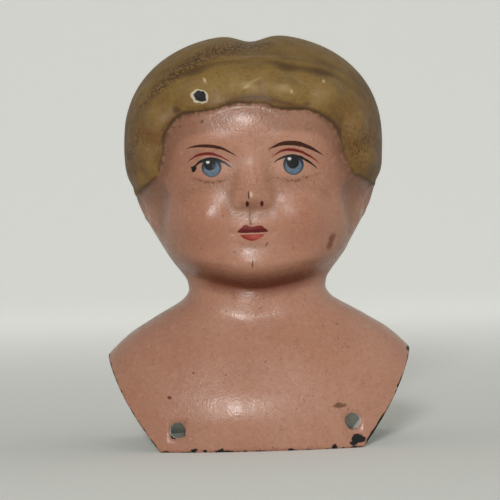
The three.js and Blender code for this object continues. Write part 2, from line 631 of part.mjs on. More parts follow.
function frontShell(holes) {
  const angles = columnAngles(FRONT_COLUMNS);
  const levels = rowLevels();
  const { rows: outer, triangles } = faceTriangles(skinPoint, FRONT, angles, levels, holes);
  const { rows: inner, triangles: lining } = faceTriangles(innerPoint, FRONT, angles, levels, holes);
  triangles.push(...lining.map(turnedOver), ...holeWalls(skinPoint, innerPoint, FRONT, holes));
  strip(triangles, inner[0], outer[0]);
  const last = angles.length - 1;
  strip(triangles, outer.map((row) => row[0]), inner.map((row) => row[0]));
  strip(triangles, inner.map((row) => row[last]), outer.map((row) => row[last]));
  return bodyFrom(triangles);
}

const FLANGE_OUTER_INSET = SHEET_THICKNESS + SEAM_CLEARANCE;
const FLANGE_INNER_INSET = FLANGE_OUTER_INSET + SHEET_THICKNESS;

function backSkin(side, angle, level) {
  return skinPoint(side, angle, level).add(new THREE.Vector3(0, SEAM_CLEARANCE, 0));
}

// Inside the back stamping the sheet steps in at the seam, to where its lap flange starts
function backLining(side, angle, level) {
  if (level >= 4 || Math.abs(angle) >= QUARTER_TURN) {
    return seamPlace(seamStep(angle, Math.max(level, 1)), FLANGE_INNER_INSET, LAP_RETURN);
  }
  return innerPoint(side, angle, level).add(new THREE.Vector3(0, SEAM_CLEARANCE, 0));
}

// The lap flange of the back stamping runs forward under the rim of the front stamping
function flangeSection(step) {
  return [
    seamPlace(step, 0, SEAM_CLEARANCE),
    seamPlace(step, FLANGE_OUTER_INSET, SEAM_CLEARANCE),
    seamPlace(step, FLANGE_OUTER_INSET, -LAP_LENGTH),
    seamPlace(step, FLANGE_INNER_INSET, -LAP_LENGTH),
    seamPlace(step, FLANGE_INNER_INSET, LAP_RETURN),
  ];
}

function backShell(holes) {
  const nearSeam = QUARTER_TURN * NEAR_SEAM_SHARE;
  const angles = [...columnAngles(BACK_COLUMNS), -nearSeam, nearSeam].sort((a, b) => a - b);
  const levels = rowLevels();
  const { rows: outer, triangles: skin } = faceTriangles(backSkin, BACK, angles, levels, holes);
  const { rows: inner, triangles } = faceTriangles(backLining, BACK, angles, levels, holes);
  triangles.push(...skin.map(turnedOver), ...holeWalls(backSkin, backLining, BACK, holes));
  strip(triangles, outer[0], inner[0]);
  const flange = seamPath().map(flangeSection);
  sheet(triangles, flange);
  for (const [end, turned] of [[flange[0], true], [flange[flange.length - 1], false]]) {
    const cap = [[end[0], end[1], end[4]], [end[1], end[3], end[4]], [end[1], end[2], end[3]]];
    triangles.push(...(turned ? cap.map(turnedOver) : cap));
  }
  return bodyFrom(triangles);
}

// Solder lies in the corner between the flange's end and the inside of the front stamping
function solderBead(firstShare, lastShare) {
  const path = seamPath();
  const first = Math.round(firstShare * (path.length - 1));
  const last = Math.round(lastShare * (path.length - 1));
  const wall = SHEET_THICKNESS + SEAM_CLEARANCE + SOLDER_CLEARANCE;
  const start = -LAP_LENGTH - SOLDER_CLEARANCE;
  const belly = SOLDER_LEG * SOLDER_BELLY_SHARE;
  const section = (step) => [
    seamPlace(step, wall, start),
    seamPlace(step, wall, start - SOLDER_LEG),
    seamPlace(step, wall + belly, start - belly),
    seamPlace(step, wall + SOLDER_LEG, start),
  ];
  const rings = path.slice(first, last + 1).map(section).map((ring) => [...ring, ring[0]]);
  const triangles = [];
  sheet(triangles, rings);
  for (const [ring, turned] of [[rings[0], true], [rings[rings.length - 1], false]]) {
    const cap = [[ring[0], ring[1], ring[2]], [ring[0], ring[2], ring[3]]];
    triangles.push(...(turned ? cap.map(turnedOver) : cap));
  }
  return bodyFrom(triangles);
}

const enamel = () => new THREE.MeshStandardMaterial({ color: 0xae826c, roughness: 0.3, metalness: 0 });
const hairEnamel = () => new THREE.MeshStandardMaterial({ color: 0x826841, roughness: 0.35, metalness: 0 });
const solder = () => new THREE.MeshStandardMaterial({ color: 0x8c8c88, roughness: 0.5, metalness: 0.8 });

const dollHead = new THREE.Group();

function add(name, geometry, material) {
  const mesh = new THREE.Mesh(geometry, material);
  mesh.name = name;
  mesh.geometry.computeVertexNormals();
  dollHead.add(mesh);
}

add('front_shell', frontShell([
  { x: -SEW_HOLE_LEFT_OUT, z: SEW_HOLE_LEFT_HEIGHT },
  { x: SEW_HOLE_RIGHT_OUT, z: SEW_HOLE_RIGHT_HEIGHT },
]), enamel());
add('back_shell', backShell([
  { x: -BACK_SEW_HOLE_OUT, z: BACK_SEW_HOLE_HEIGHT },
  { x: BACK_SEW_HOLE_OUT, z: BACK_SEW_HOLE_HEIGHT },
]), hairEnamel());
add('solder_seam_left', solderBead(...solderRunShares.left), solder());
add('solder_seam_crown', solderBead(...solderRunShares.crown), solder());
add('solder_seam_right', solderBead(...solderRunShares.right), solder());

// The origin is the middle of the footprint, under the middle of the head's depth
const { min, max } = new THREE.Box3().setFromObject(dollHead);
dollHead.position.y = -(min.y + max.y) / 2;

export default dollHead;
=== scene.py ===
"""Shoulder head of a doll in painted tinplate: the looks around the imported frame.

The surface of the two stampings is worked out in millimetres, as the frame's own shells are, and turns into
metres where a mesh is made. The face looks along -Y, and x is positive on the right as seen from the front.
"""

import math

import bpy
import numpy as np
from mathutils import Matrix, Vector


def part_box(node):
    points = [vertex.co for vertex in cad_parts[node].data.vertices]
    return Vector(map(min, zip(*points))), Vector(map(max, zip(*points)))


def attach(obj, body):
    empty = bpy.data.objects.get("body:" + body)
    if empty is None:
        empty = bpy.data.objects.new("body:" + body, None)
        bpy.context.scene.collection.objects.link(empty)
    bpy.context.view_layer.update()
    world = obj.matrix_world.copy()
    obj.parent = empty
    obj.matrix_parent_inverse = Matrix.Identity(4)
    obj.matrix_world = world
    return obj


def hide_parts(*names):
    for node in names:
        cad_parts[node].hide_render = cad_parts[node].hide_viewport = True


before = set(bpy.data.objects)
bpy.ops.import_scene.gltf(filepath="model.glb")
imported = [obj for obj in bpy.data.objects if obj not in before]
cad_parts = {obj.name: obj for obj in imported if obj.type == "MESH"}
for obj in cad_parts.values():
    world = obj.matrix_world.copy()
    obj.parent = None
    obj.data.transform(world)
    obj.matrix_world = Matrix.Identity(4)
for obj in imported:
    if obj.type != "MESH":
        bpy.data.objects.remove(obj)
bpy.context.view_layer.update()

MM = 0.001
FRONT = -1
BACK = 1
QUARTER = math.pi / 2

# The seam plane lies at the front shell's rearmost edge
front_low, front_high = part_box("front_shell")
SEAM_Y = front_high.y / MM
SHOULDER_WIDTH = (front_high.x - front_low.x) / MM
SEAM_GAP = 0.3
SHEET = 0.5
FLANGE_INSET = 1.3
LAP_LENGTH = 2.0
LAP_RETURN = 0.5

# The blank that both stampings follow
CROWN_HEIGHT = 108.1
WIDEST_HEIGHT = 80.0
NECK_HEIGHT = 40.5
TIP_HEIGHT = 24.0
HEAD_WIDTH = 68.6
NECK_WIDTH = 36.5
BUST_FOOT_WIDTH = 92.0
FLAP_FOOT_WIDTH = 51.6
FLAP_EDGE_BOW = 1.2
FOREHEAD_DEPTH = 29.2
THROAT_DEPTH = 14.5
CHEST_DEPTH = 24.8
SHOULDER_FRONT_DEPTH = 19.5
BACK_HEAD_DEPTH = 27.5
NAPE_DEPTH = 14.2
UPPER_BACK_DEPTH = 21.2
SHOULDER_BACK_DEPTH = 18.6
JAW_RISE = 4.5
CROWN_ROUNDNESS = 2.2
SQUARENESS = {FRONT: 2.35, BACK: 2.15}
VALLEY_DEPTH = 2.0
VALLEY_REACH = 4.8
VALLEY_FOOT = 95.0
RELIEF_RUN_OUT = 2.6

bust_width_shares = [(0, 0), (0.35, 0.1), (0.62, 0.32), (0.82, 0.62), (1, 1)]
shoulder_width_shares = [(0.12, 0.087), (0.24, 0.184), (0.36, 0.3), (0.485, 0.455), (0.606, 0.607),
                         (0.727, 0.772), (0.848, 0.922), (0.92, 0.97), (1, 1)]
face_width_shares = [(0.06, 0.022), (0.12, 0.11), (0.19, 0.24), (0.29, 0.4), (0.39, 0.544), (0.49, 0.675),
                     (0.645, 0.828), (0.8, 0.94), (1, 1)]
chest_depth_shares = [(0, 0), (0.25, 0.05), (0.48, 0.21), (0.74, 0.54), (1, 1)]
throat_depth_shares = [(0.24, 0.41), (0.42, 0.69), (0.6, 0.9), (0.8, 0.98), (1, 1)]
face_depth_shares = [(0.035, 0.13), (0.085, 0.5), (0.13, 0.745), (0.17, 0.842), (0.2, 0.85), (0.3, 0.852),
                     (0.37, 0.862), (0.5, 0.905), (0.65, 0.945), (0.8, 0.955), (0.9, 0.98), (1, 1)]
upper_back_shares = [(0, 0), (0.35, -0.12), (0.65, 0.2), (1, 1)]
nape_shares = [(0.36, 0.55), (0.7, 0.9), (1, 1)]
back_head_shares = [(0.09, 0.03), (0.17, 0.13), (0.28, 0.36), (0.43, 0.64), (0.6, 0.84), (0.8, 0.97), (1, 1)]

# Sew holes: x and height of each centre
SEW_HOLE_RADIUS = 2.0
front_holes = [(-21.2, 5.6), (23.2, 6.8)]
back_holes = [(-22.2, 6.0), (22.2, 6.0)]


def curve_through(knots):
    """Smooth curve through knots (position, value), level at both ends and without overshoot."""
    at = np.array([knot[0] for knot in knots], float)
    value = np.array([knot[1] for knot in knots], float)
    gap = np.diff(at)
    slope = np.diff(value) / gap
    tangent = np.zeros(len(at))
    for i in range(1, len(at) - 1):
        before, after = slope[i - 1], slope[i]
        if before * after > 0:
            heavy_before = 2 * gap[i] + gap[i - 1]
            heavy_after = gap[i] + 2 * gap[i - 1]
            tangent[i] = (heavy_before + heavy_after) / (heavy_before / before + heavy_after / after)

    def curve(position):
        position = np.asarray(position, float)
        i = np.clip(np.searchsorted(at, position) - 1, 0, len(gap) - 1)
        share = np.clip((position - at[i]) / gap[i], 0, 1)
        rest = 1 - share
        ends = value[i] * (1 + 2 * share) * rest**2 + value[i + 1] * (1 + 2 * rest) * share**2
        return ends + gap[i] * share * rest * (tangent[i] * rest - tangent[i + 1] * share)

    return curve


def run(low, high, low_size, high_size, shares):
    return [(low + (high - low) * up, low_size + (high_size - low_size) * across) for up, across in shares]


def profile(foot, foot_shares, shoulder, shoulder_shares, neck, head_shares, head):
    return curve_through(run(0, TIP_HEIGHT, foot, shoulder, foot_shares)
                         + run(TIP_HEIGHT, NECK_HEIGHT, shoulder, neck, shoulder_shares)
                         + run(NECK_HEIGHT, WIDEST_HEIGHT, neck, head, head_shares))


body_half_width = profile(BUST_FOOT_WIDTH / 2, bust_width_shares, SHOULDER_WIDTH / 2, shoulder_width_shares,
                          NECK_WIDTH / 2, face_width_shares, HEAD_WIDTH / 2)
body_depth = {
    FRONT: profile(CHEST_DEPTH, chest_depth_shares, SHOULDER_FRONT_DEPTH, throat_depth_shares,
                   THROAT_DEPTH, face_depth_shares, FOREHEAD_DEPTH),
    BACK: profile(UPPER_BACK_DEPTH, upper_back_shares, SHOULDER_BACK_DEPTH, nape_shares,
                  NAPE_DEPTH, back_head_shares, BACK_HEAD_DEPTH),
}


def smooth(value, low, high):
    share = np.clip((value - low) / (high - low), 0, 1)
    return share * share * (3 - 2 * share)


BUMP_SKIRT = 1.5


def bump(across, up, half_across, half_up):
    """Round bump that is 1 at its middle and 0 from its rim outwards."""
    distance = ((across / half_across)**2 + (up / half_up)**2) / BUMP_SKIRT
    return np.where(distance < 1, (1 - distance)**3, 0.0)


def ridge(distance, half_width):
    return np.exp(-(distance / half_width)**2)


def crown_share(z):
    up = np.clip((z - WIDEST_HEIGHT) / (CROWN_HEIGHT - WIDEST_HEIGHT), 0, 1)
    return (1 - up**CROWN_ROUNDNESS)**(1 / CROWN_ROUNDNESS)


def half_width(z):
    return body_half_width(z) * crown_share(z)


def flap_half_width(z):
    up = z / TIP_HEIGHT
    straight = (FLAP_FOOT_WIDTH + (SHOULDER_WIDTH - FLAP_FOOT_WIDTH) * up) / 2
    return straight + FLAP_EDGE_BOW * np.sin(math.pi * up)


EDGE_HALVINGS = 40
FOOT_SLACK = 0.01


def edge_height(angle):
    """Height at which the column at each angle round the bust meets the flap's edge, by halving."""
    out = np.abs(np.sin(angle))
    low = np.zeros_like(out)
    high = np.full_like(out, TIP_HEIGHT)
    for _ in range(EDGE_HALVINGS):
        middle = (low + high) / 2
        outside = out * half_width(middle) > flap_half_width(middle)
        low = np.where(outside, middle, low)
        high = np.where(outside, high, middle)
    reaches_foot = out * half_width(0.0) <= FLAP_FOOT_WIDTH / 2 + FOOT_SLACK
    return np.where(reaches_foot, 0.0, high)


def height_at(angle, level):
    """Level runs from 0 at the flap's edge, over 1 at the shoulder tips, 2 at the neck and 3 at the widest
    height, to 4 at the crown."""
    edge = edge_height(angle)
    bust = edge + (TIP_HEIGHT - edge) * level
    shoulder = TIP_HEIGHT + (NECK_HEIGHT - TIP_HEIGHT) * (level - 1)
    face = NECK_HEIGHT + (WIDEST_HEIGHT - NECK_HEIGHT) * (level - 2)
    up = np.sin(np.clip(level - 3, 0, 1) * QUARTER)**(2 / CROWN_ROUNDNESS)
    crown = WIDEST_HEIGHT + (CROWN_HEIGHT - WIDEST_HEIGHT) * up
    return np.select([level < 1, level < 2, level < 3], [bust, shoulder, face], crown)


def blank(side, angle, level):
    """The smooth stamping before its relief, as x, y and z arrays with the seam plane at y 0."""
    z = height_at(angle, level)
    out = np.sin(angle)
    power = SQUARENESS[side]
    bulge = np.maximum(1 - np.abs(out)**power, 0)**(1 / power)
    bent = z - JAW_RISE * out**2 if side == FRONT else z
    y = side * crown_share(z) * body_depth[side](bent) * bulge
    x = half_width(z) * out
    valley = VALLEY_DEPTH * np.exp(-(x / VALLEY_REACH)**2) * smooth(z, VALLEY_FOOT, CROWN_HEIGHT)
    return x, y, z - valley


# The features of the face sit a little left of the head's middle line
FACE_SHIFT = -0.8
NOSE_SHIFT = -0.88
FACE_CENTRE = 66.0
EYE_OUT = 10.2
BAG_HEIGHT = 67.7
BAG_BOW = 0.05
BAG_DEPTH = 0.1
BAG_HALF_WIDTH = 1.0
BAG_HALF_LENGTH = 8.0
NOSE_ROOT = 74.5
NOSE_TIP = 64.2
NOSE_FOOT = (60.4, 64.0)
NOSE_RISE = 3.4
NOSE_BEND = 1.5
NOSE_HALF_WIDTH = 2.6
NOSE_FLARE = 0.5
MOUTH_HEIGHT = 54.95
MOUTH_BOW = 0.016
MOUTH_HALF_LENGTH = 4.4
MOUTH_LINE_DEPTH = 0.16
MOUTH_LINE_HALF_WIDTH = 0.34

# Bumps and hollows that come in pairs: x of their middle line, distance from it, height, half width, half
# height and rise. They are the eyes, their sockets and lids, the wings of the nose, the creases beside them
# and the cheeks.
paired_bumps = [
    (FACE_SHIFT, EYE_OUT, 71.6, 6.8, 4.8, 0.8), (FACE_SHIFT, EYE_OUT, 72.0, 9.6, 7.0, -0.95),
    (FACE_SHIFT, EYE_OUT, 78.0, 9.0, 3.4, 0.35), (NOSE_SHIFT, 3.0, 62.9, 2.0, 2.0, 0.5),
    (NOSE_SHIFT, 5.8, 60.6, 2.6, 4.6, -0.16), (FACE_SHIFT, 12.8, 59.2, 9.0, 7.4, 1.9),
    (FACE_SHIFT, 14.0, 52.0, 9.0, 9.0, 0.6),
]
# Single ones, down from the forehead to the chest: x, height, half width, half height, tilt in degrees
# and rise
single_bumps = [
    (-1.6, 82.8, 8.0, 7.0, 0, 0.35), (FACE_SHIFT, 59.0, 1.4, 2.4, 0, -0.1),
    (FACE_SHIFT, 55.6, 7.4, 4.6, 0, 0.32), (FACE_SHIFT, 45.9, 8.6, 5.6, 0, 0.85),
    (-2.4, 37.5, 6.5, 6.0, 0, 0.45), (-4.0, 10.5, 17.0, 9.0, 0, 0.6),
]
# Upper lip, lower lip and the corners of the mouth, in the same terms, from the line between the lips
lip_bumps = [(0, 1.0, 4.4, 1.6, 0, 0.42), (0, -1.2, 3.8, 1.7, 0, 0.5),
             (-5.0, 0, 1.8, 1.6, 0, -0.22), (5.0, 0, 1.8, 1.6, 0, -0.22)]

# Where the cheek ends and the ear begins: height and distance from the middle line
ear_line = curve_through([(46, 20.2), (50, 23.0), (54, 24.2), (60, 24.8), (66, 25.0), (70, 25.4)])
EAR_CREASE_SHARE = 0.26
EAR_CREASE_IN = (-3.8, 0.6)
EAR_CREASE_RUN_OUT = (0.2, 0.4)
EAR_CREASE_FOOT = (49.5, 55.0)
EAR_CREASE_HEAD = (63.0, 70.0)
EAR_FORWARD = 7.0
EAR_HEIGHT = 62.0
EAR_TILT = math.radians(12)
EAR_HALF_WIDTH = 3.7
EAR_HALF_LENGTH = 6.0
EAR_RIM_PLACE = 0.82
EAR_RIM_RISE = 0.32
EAR_RIM_THICKNESS = 0.2
EAR_RIM_FOOT = (-4.5, -1.5)
# Hollow and lobe of the ear, in the same terms, across and along it
ear_bumps = [(-0.3, 0.4, 2.1, 3.4, 0, -0.35), (0.2, -4.4, 2.0, 2.0, 0, 0.25)]

# Hairline round the face: turn in degrees from the right ear over the forehead, and reach from its centre
hairline_turns = [(-16, 38.0), (-8, 36.0), (-1, 33.5), (2.5, 30.6), (5, 28.0), (8, 25.7), (16, 24.4),
                  (26.7, 24.9), (34.5, 25.6), (41, 25.4), (47.5, 24.8), (54.3, 23.7), (64, 21.7), (74, 20.6),
                  (81, 21.2), (90, 21.3), (103.5, 21.9), (115, 22.2), (124, 23.6), (134, 26.2),
                  (140.5, 26.8), (147.5, 26.6), (157.5, 25.1), (168.8, 25.1), (174.4, 26.9), (179, 30.2),
                  (183, 33.5), (190, 36.0), (196, 38.0)]
hairline_reach = curve_through(hairline_turns)
BELOW_EARS_REACH = 80.0
HAIR_STEP = 1.0

# The fringe is a roll along the hairline with a crest behind it, and on the roll lie locks and a curl
# Ranges say where a form sets in or runs out: millimetres beyond the hairline, height or turn in degrees
ROLL_WIDTH = 13.0
LOCKS_START = (-0.3, 2.2)
LOCKS_END = (9.5, 14.5)
CREST_START = (25.0, 45.0)
ROLL_START = (2.0, 14.0)
STEP_EDGE = (-0.6, 0.9)
STEP_FOOT = (55.0, FACE_CENTRE)
STEP_FROM_SEAM = (2.0, 11.0)
CREST_OUT = 12.3
CREST_WAVE = 0.5
CREST_WAVES = 7
CREST_RISE = 0.26
CREST_HALF_WIDTH = 0.8
CURL_RISE = 0.65
CURL_HALF_WIDTH = 0.75
CURL_HALF_LENGTH = 3.6
# Curl in the middle of the fringe, from its tip up: x and height
curl = [(-3.4, 90.2), (-1.27, 91.7), (0.51, 92.8), (2.9, 93.9)]
curl_line = curve_through(curl)
# Locks, then the hollows between and under them: x, height, half width, half height, tilt and rise
fringe_lobes = [
    (-23.4, 83.4, 4.4, 5.4, 30, 1.5), (-14.4, 89.6, 5.0, 4.2, 16, 1.8), (-4.6, 91.8, 4.0, 3.6, 24, 1.1),
    (8.4, 90.4, 5.2, 4.2, -8, 1.8), (18.8, 89.4, 4.2, 5.0, -35, 1.6), (25.6, 81.2, 3.6, 5.4, -12, 1.3),
    (28.8, 73.6, 2.8, 4.6, -6, 0.8), (-27.0, 75.4, 3.4, 5.0, 10, 1.1), (-29.4, 69.0, 2.4, 3.8, 6, 0.7),
    (-0.4, 88.2, 4.6, 1.7, 2, -0.35), (13.6, 86.6, 2.6, 1.6, 4, -0.25), (-19.2, 86.4, 1.8, 2.4, 34, -0.25),
]

# Locks of the back hair, which swing from side to side and end in points above the nape
NAPE_LINE = 48.4
NAPE_POINTS = 3.2
LOCKS_PER_RADIAN = 8.5
POINT_FULLNESS = 0.6
LOCK_SWING = 0.9
LOCK_SWING_HEIGHT = 15.0
LOCK_SWING_START = 0.6
SIDE_SWING = 0.35
SIDE_SWINGS = 3
LOCK_RISE = 1.05
LOCK_MIDDLE = 0.62
LOCK_FULLNESS = 0.7
LOCK_FOOT = (-0.5, 5.0)
SKIN_STEP = (-0.7, 0.5)
LOCK_FADE_START = WIDEST_HEIGHT - 4.0
# Fine strands on the locks: rise, waves per radian, share of the locks' swing and start
strand_waves = [(0.1, 68, 8, 0.0), (0.07, 111, 13, 1.0)]


def lobes(x, z, rows):
    """Sum of tilted bumps."""
    total = np.zeros_like(x)
    for centre_x, centre_z, half_x, half_z, tilt, rise in rows:
        turn = math.radians(tilt)
        dx, dz = x - centre_x, z - centre_z
        total += rise * bump(dx * math.cos(turn) + dz * math.sin(turn),
                             dz * math.cos(turn) - dx * math.sin(turn), half_x, half_z)
    return total


def beyond_hairline(x, z):
    """Millimetres outside the hairline, negative on the face."""
    turn = np.degrees(np.arctan2(z - FACE_CENTRE, x))
    turn = np.where(turn < -90, turn + 360, turn)
    first, last = hairline_turns[0][0], hairline_turns[-1][0]
    reach = np.where((turn > first) & (turn < last), hairline_reach(turn), BELOW_EARS_REACH)
    return np.hypot(x, z - FACE_CENTRE) - reach


def paired_relief(x, z):
    total = np.zeros_like(x)
    for middle, out, height, half_x, half_z, rise in paired_bumps:
        total += rise * bump(np.abs(x - middle) - out, z - height, half_x, half_z)
    return total


def eye_bag_relief(x, z):
    out = np.abs(x - FACE_SHIFT) - EYE_OUT
    up = z - BAG_HEIGHT - BAG_BOW * out**2
    return -BAG_DEPTH * ridge(up, BAG_HALF_WIDTH) * bump(out, 0, BAG_HALF_LENGTH, 1)


def nose_relief(x, z):
    down = np.clip((NOSE_ROOT - z) / (NOSE_ROOT - NOSE_TIP), 0, 1)
    along = np.where(z > NOSE_TIP, down**NOSE_BEND, smooth(z, *NOSE_FOOT))
    return NOSE_RISE * along * ridge(x - NOSE_SHIFT, NOSE_HALF_WIDTH + NOSE_FLARE * down)


def mouth_relief(x, z):
    """Two lips that meet in a bowed line."""
    across = x - FACE_SHIFT
    up = z - MOUTH_HEIGHT - MOUTH_BOW * across**2
    line = ridge(up, MOUTH_LINE_HALF_WIDTH) * bump(across, 0, MOUTH_HALF_LENGTH, 1)
    return lobes(across, up, lip_bumps) - MOUTH_LINE_DEPTH * line


def ear_relief(x, y, z):
    """The cheek drops steeply to the crease in front of the ear, and the ear rises gently to the seam."""
    room = np.maximum(half_width(z) - ear_line(z), 0)
    beyond = np.abs(x) - ear_line(z)
    start, spare = EAR_CREASE_RUN_OUT
    crease = EAR_CREASE_SHARE * room * smooth(beyond, *EAR_CREASE_IN)
    crease = crease * (1 - smooth(beyond, start, room + spare))
    crease = crease * smooth(z, *EAR_CREASE_FOOT) * (1 - smooth(z, *EAR_CREASE_HEAD))
    forward = -y - EAR_FORWARD
    up = z - EAR_HEIGHT
    across = forward * math.cos(EAR_TILT) + up * math.sin(EAR_TILT)
    along = up * math.cos(EAR_TILT) - forward * math.sin(EAR_TILT)
    ellipse = np.hypot(across / EAR_HALF_WIDTH, along / EAR_HALF_LENGTH)
    rim = EAR_RIM_RISE * ridge(ellipse - EAR_RIM_PLACE, EAR_RIM_THICKNESS) * smooth(along, *EAR_RIM_FOOT)
    return rim + lobes(across, along, ear_bumps) - crease


def fringe_relief(x, y, z):
    beyond = beyond_hairline(x, z)
    turn = np.degrees(np.arctan2(z - FACE_CENTRE, np.abs(x)))
    on_roll = smooth(beyond, *LOCKS_START) * (1 - smooth(beyond, *LOCKS_END))
    roll = np.sin(math.pi * np.clip(beyond / ROLL_WIDTH, 0, 1))**2
    crest_place = beyond - CREST_OUT - CREST_WAVE * np.sin(np.radians(turn) * CREST_WAVES)
    crest = CREST_RISE * ridge(crest_place, CREST_HALF_WIDTH) * smooth(turn, *CREST_START)
    on_curl = ridge(z - curl_line(x), CURL_HALF_WIDTH) * bump(x, 0, CURL_HALF_LENGTH, 1)
    step = (1 - smooth(beyond, *STEP_EDGE)) * smooth(z, *STEP_FOOT) * smooth(np.abs(y), *STEP_FROM_SEAM)
    above_ears = smooth(turn, *ROLL_START)
    return (above_ears * (roll + crest) + lobes(x, z, fringe_lobes) * on_roll
            + CURL_RISE * on_curl - HAIR_STEP * step)


def front_relief(x, y, z):
    return (paired_relief(x, z) + lobes(x, z, single_bumps) + eye_bag_relief(x, z) + nose_relief(x, z)
            + mouth_relief(x, z) + ear_relief(x, y, z) + fringe_relief(x, y, z))


def nape_foot(angle, z):
    """Height at which the hair ends above the nape, with the share of each lock and its swing."""
    swing = LOCK_SWING * np.sin(z / LOCK_SWING_HEIGHT * math.pi + LOCK_SWING_START)
    swing = swing + SIDE_SWING * np.sin(SIDE_SWINGS * angle)
    lock = np.abs(np.sin(LOCKS_PER_RADIAN * angle + swing))
    return NAPE_LINE - NAPE_POINTS * lock**POINT_FULLNESS, lock, swing


def back_relief(angle, z):
    foot, lock, swing = nape_foot(angle, z)
    on_skin = 1 - smooth(z - foot, *SKIN_STEP)
    fade_up = 1 - smooth(z, LOCK_FADE_START, VALLEY_FOOT)
    strands = 0
    for rise, waves, share, start in strand_waves:
        strands = strands + rise * np.cos(waves * angle + share * swing + start)
    body = LOCK_RISE * (lock**LOCK_FULLNESS - LOCK_MIDDLE)
    return ((body + strands * lock) * smooth(z - foot, *LOCK_FOOT) * fade_up
            - HAIR_STEP * on_skin * smooth(z, TIP_HEIGHT, NECK_HEIGHT))


def relief(side, angle, x, y, z):
    rise = front_relief(x, y, z) if side == FRONT else back_relief(angle, z)
    return rise * smooth(np.abs(y), 0, RELIEF_RUN_OUT)


CROWN_LEVEL = 4
PROBE = 0.002
MERGE = 0.0005
TINY = 1e-9
# Numbers of the two materials of a shell's faces
PAINTED = 0
BARE = 1
# Millimetres beyond which a mark says no more than far away
MARK_REACH = 10.0
SIDE_EDGE_NEARNESS = 0.9
SEAM_NEARNESS = 1.5
CAVITY_CELLS = 8
COLUMN_CROWDING = 0.6
COLLAR_WIDTH = 0.6
RIM_START = -0.75 * math.pi
FINE_RIM_POINTS = 48
COARSE_RIM_POINTS = 24
# The lining has one cell where the skin has this many, and no fewer rows than FEWEST_ROWS to a level
LINING_STEP = 3
FEWEST_ROWS = 6
# Triangles that close an end of the lap flange, by the number of each corner's section
flange_end = ((0, 1, 4), (1, 3, 4), (1, 2, 3))


def normal_of(surface, side, angle, level):
    """Outward unit normals of a surface given by angle and level, level with the seam plane at the seam."""
    at_seam = np.abs(angle) > QUARTER - PROBE
    low = np.maximum(level - PROBE, np.where(at_seam, 1.0, 0.0))
    high = np.minimum(np.maximum(level, low) + PROBE, CROWN_LEVEL)
    low = np.minimum(low, CROWN_LEVEL - 2 * PROBE)
    along = np.stack(surface(angle, high), -1) - np.stack(surface(angle, low), -1)
    left = np.clip(angle - PROBE, -QUARTER, QUARTER)
    right = np.clip(angle + PROBE, -QUARTER, QUARTER)
    around = np.stack(surface(right, level), -1) - np.stack(surface(left, level), -1)
    normal = -side * np.cross(around, along)
    sign = np.sign(angle)
    rim = np.stack([sign * along[..., 2], 0 * sign, -sign * along[..., 0]], -1)
    normal = np.where(at_seam[..., None], rim, normal)
    size = np.linalg.norm(normal, axis=-1, keepdims=True)
    on_crown = (size < TINY) | (np.asarray(level)[..., None] >= CROWN_LEVEL)
    return np.where(on_crown, np.array([0.0, 0.0, 1.0]), normal / np.maximum(size, TINY))


def skin(side, angle, level):
    x, y, z = blank(side, angle, level)
    normal = normal_of(lambda a, v: blank(side, a, v), side, angle, level)
    rise = relief(side, angle, x, y, z)
    gap = SEAM_GAP if side == BACK else 0.0
    return x + normal[..., 0] * rise, y + normal[..., 1] * rise + gap, z + normal[..., 2] * rise


def lining(side, angle, level):
    """Inner face of the sheet, with the flap's foot kept flat."""
    x, y, z = skin(side, angle, level)
    normal = normal_of(lambda a, v: skin(side, a, v), side, angle, level)
    at_foot = (level <= 0) & (edge_height(angle) <= 0)
    normal[..., 2] = np.where(at_foot, 0.0, normal[..., 2])
    normal = normal / np.linalg.norm(normal, axis=-1, keepdims=True)
    return x - SHEET * normal[..., 0], y - SHEET * normal[..., 1], z - SHEET * normal[..., 2]


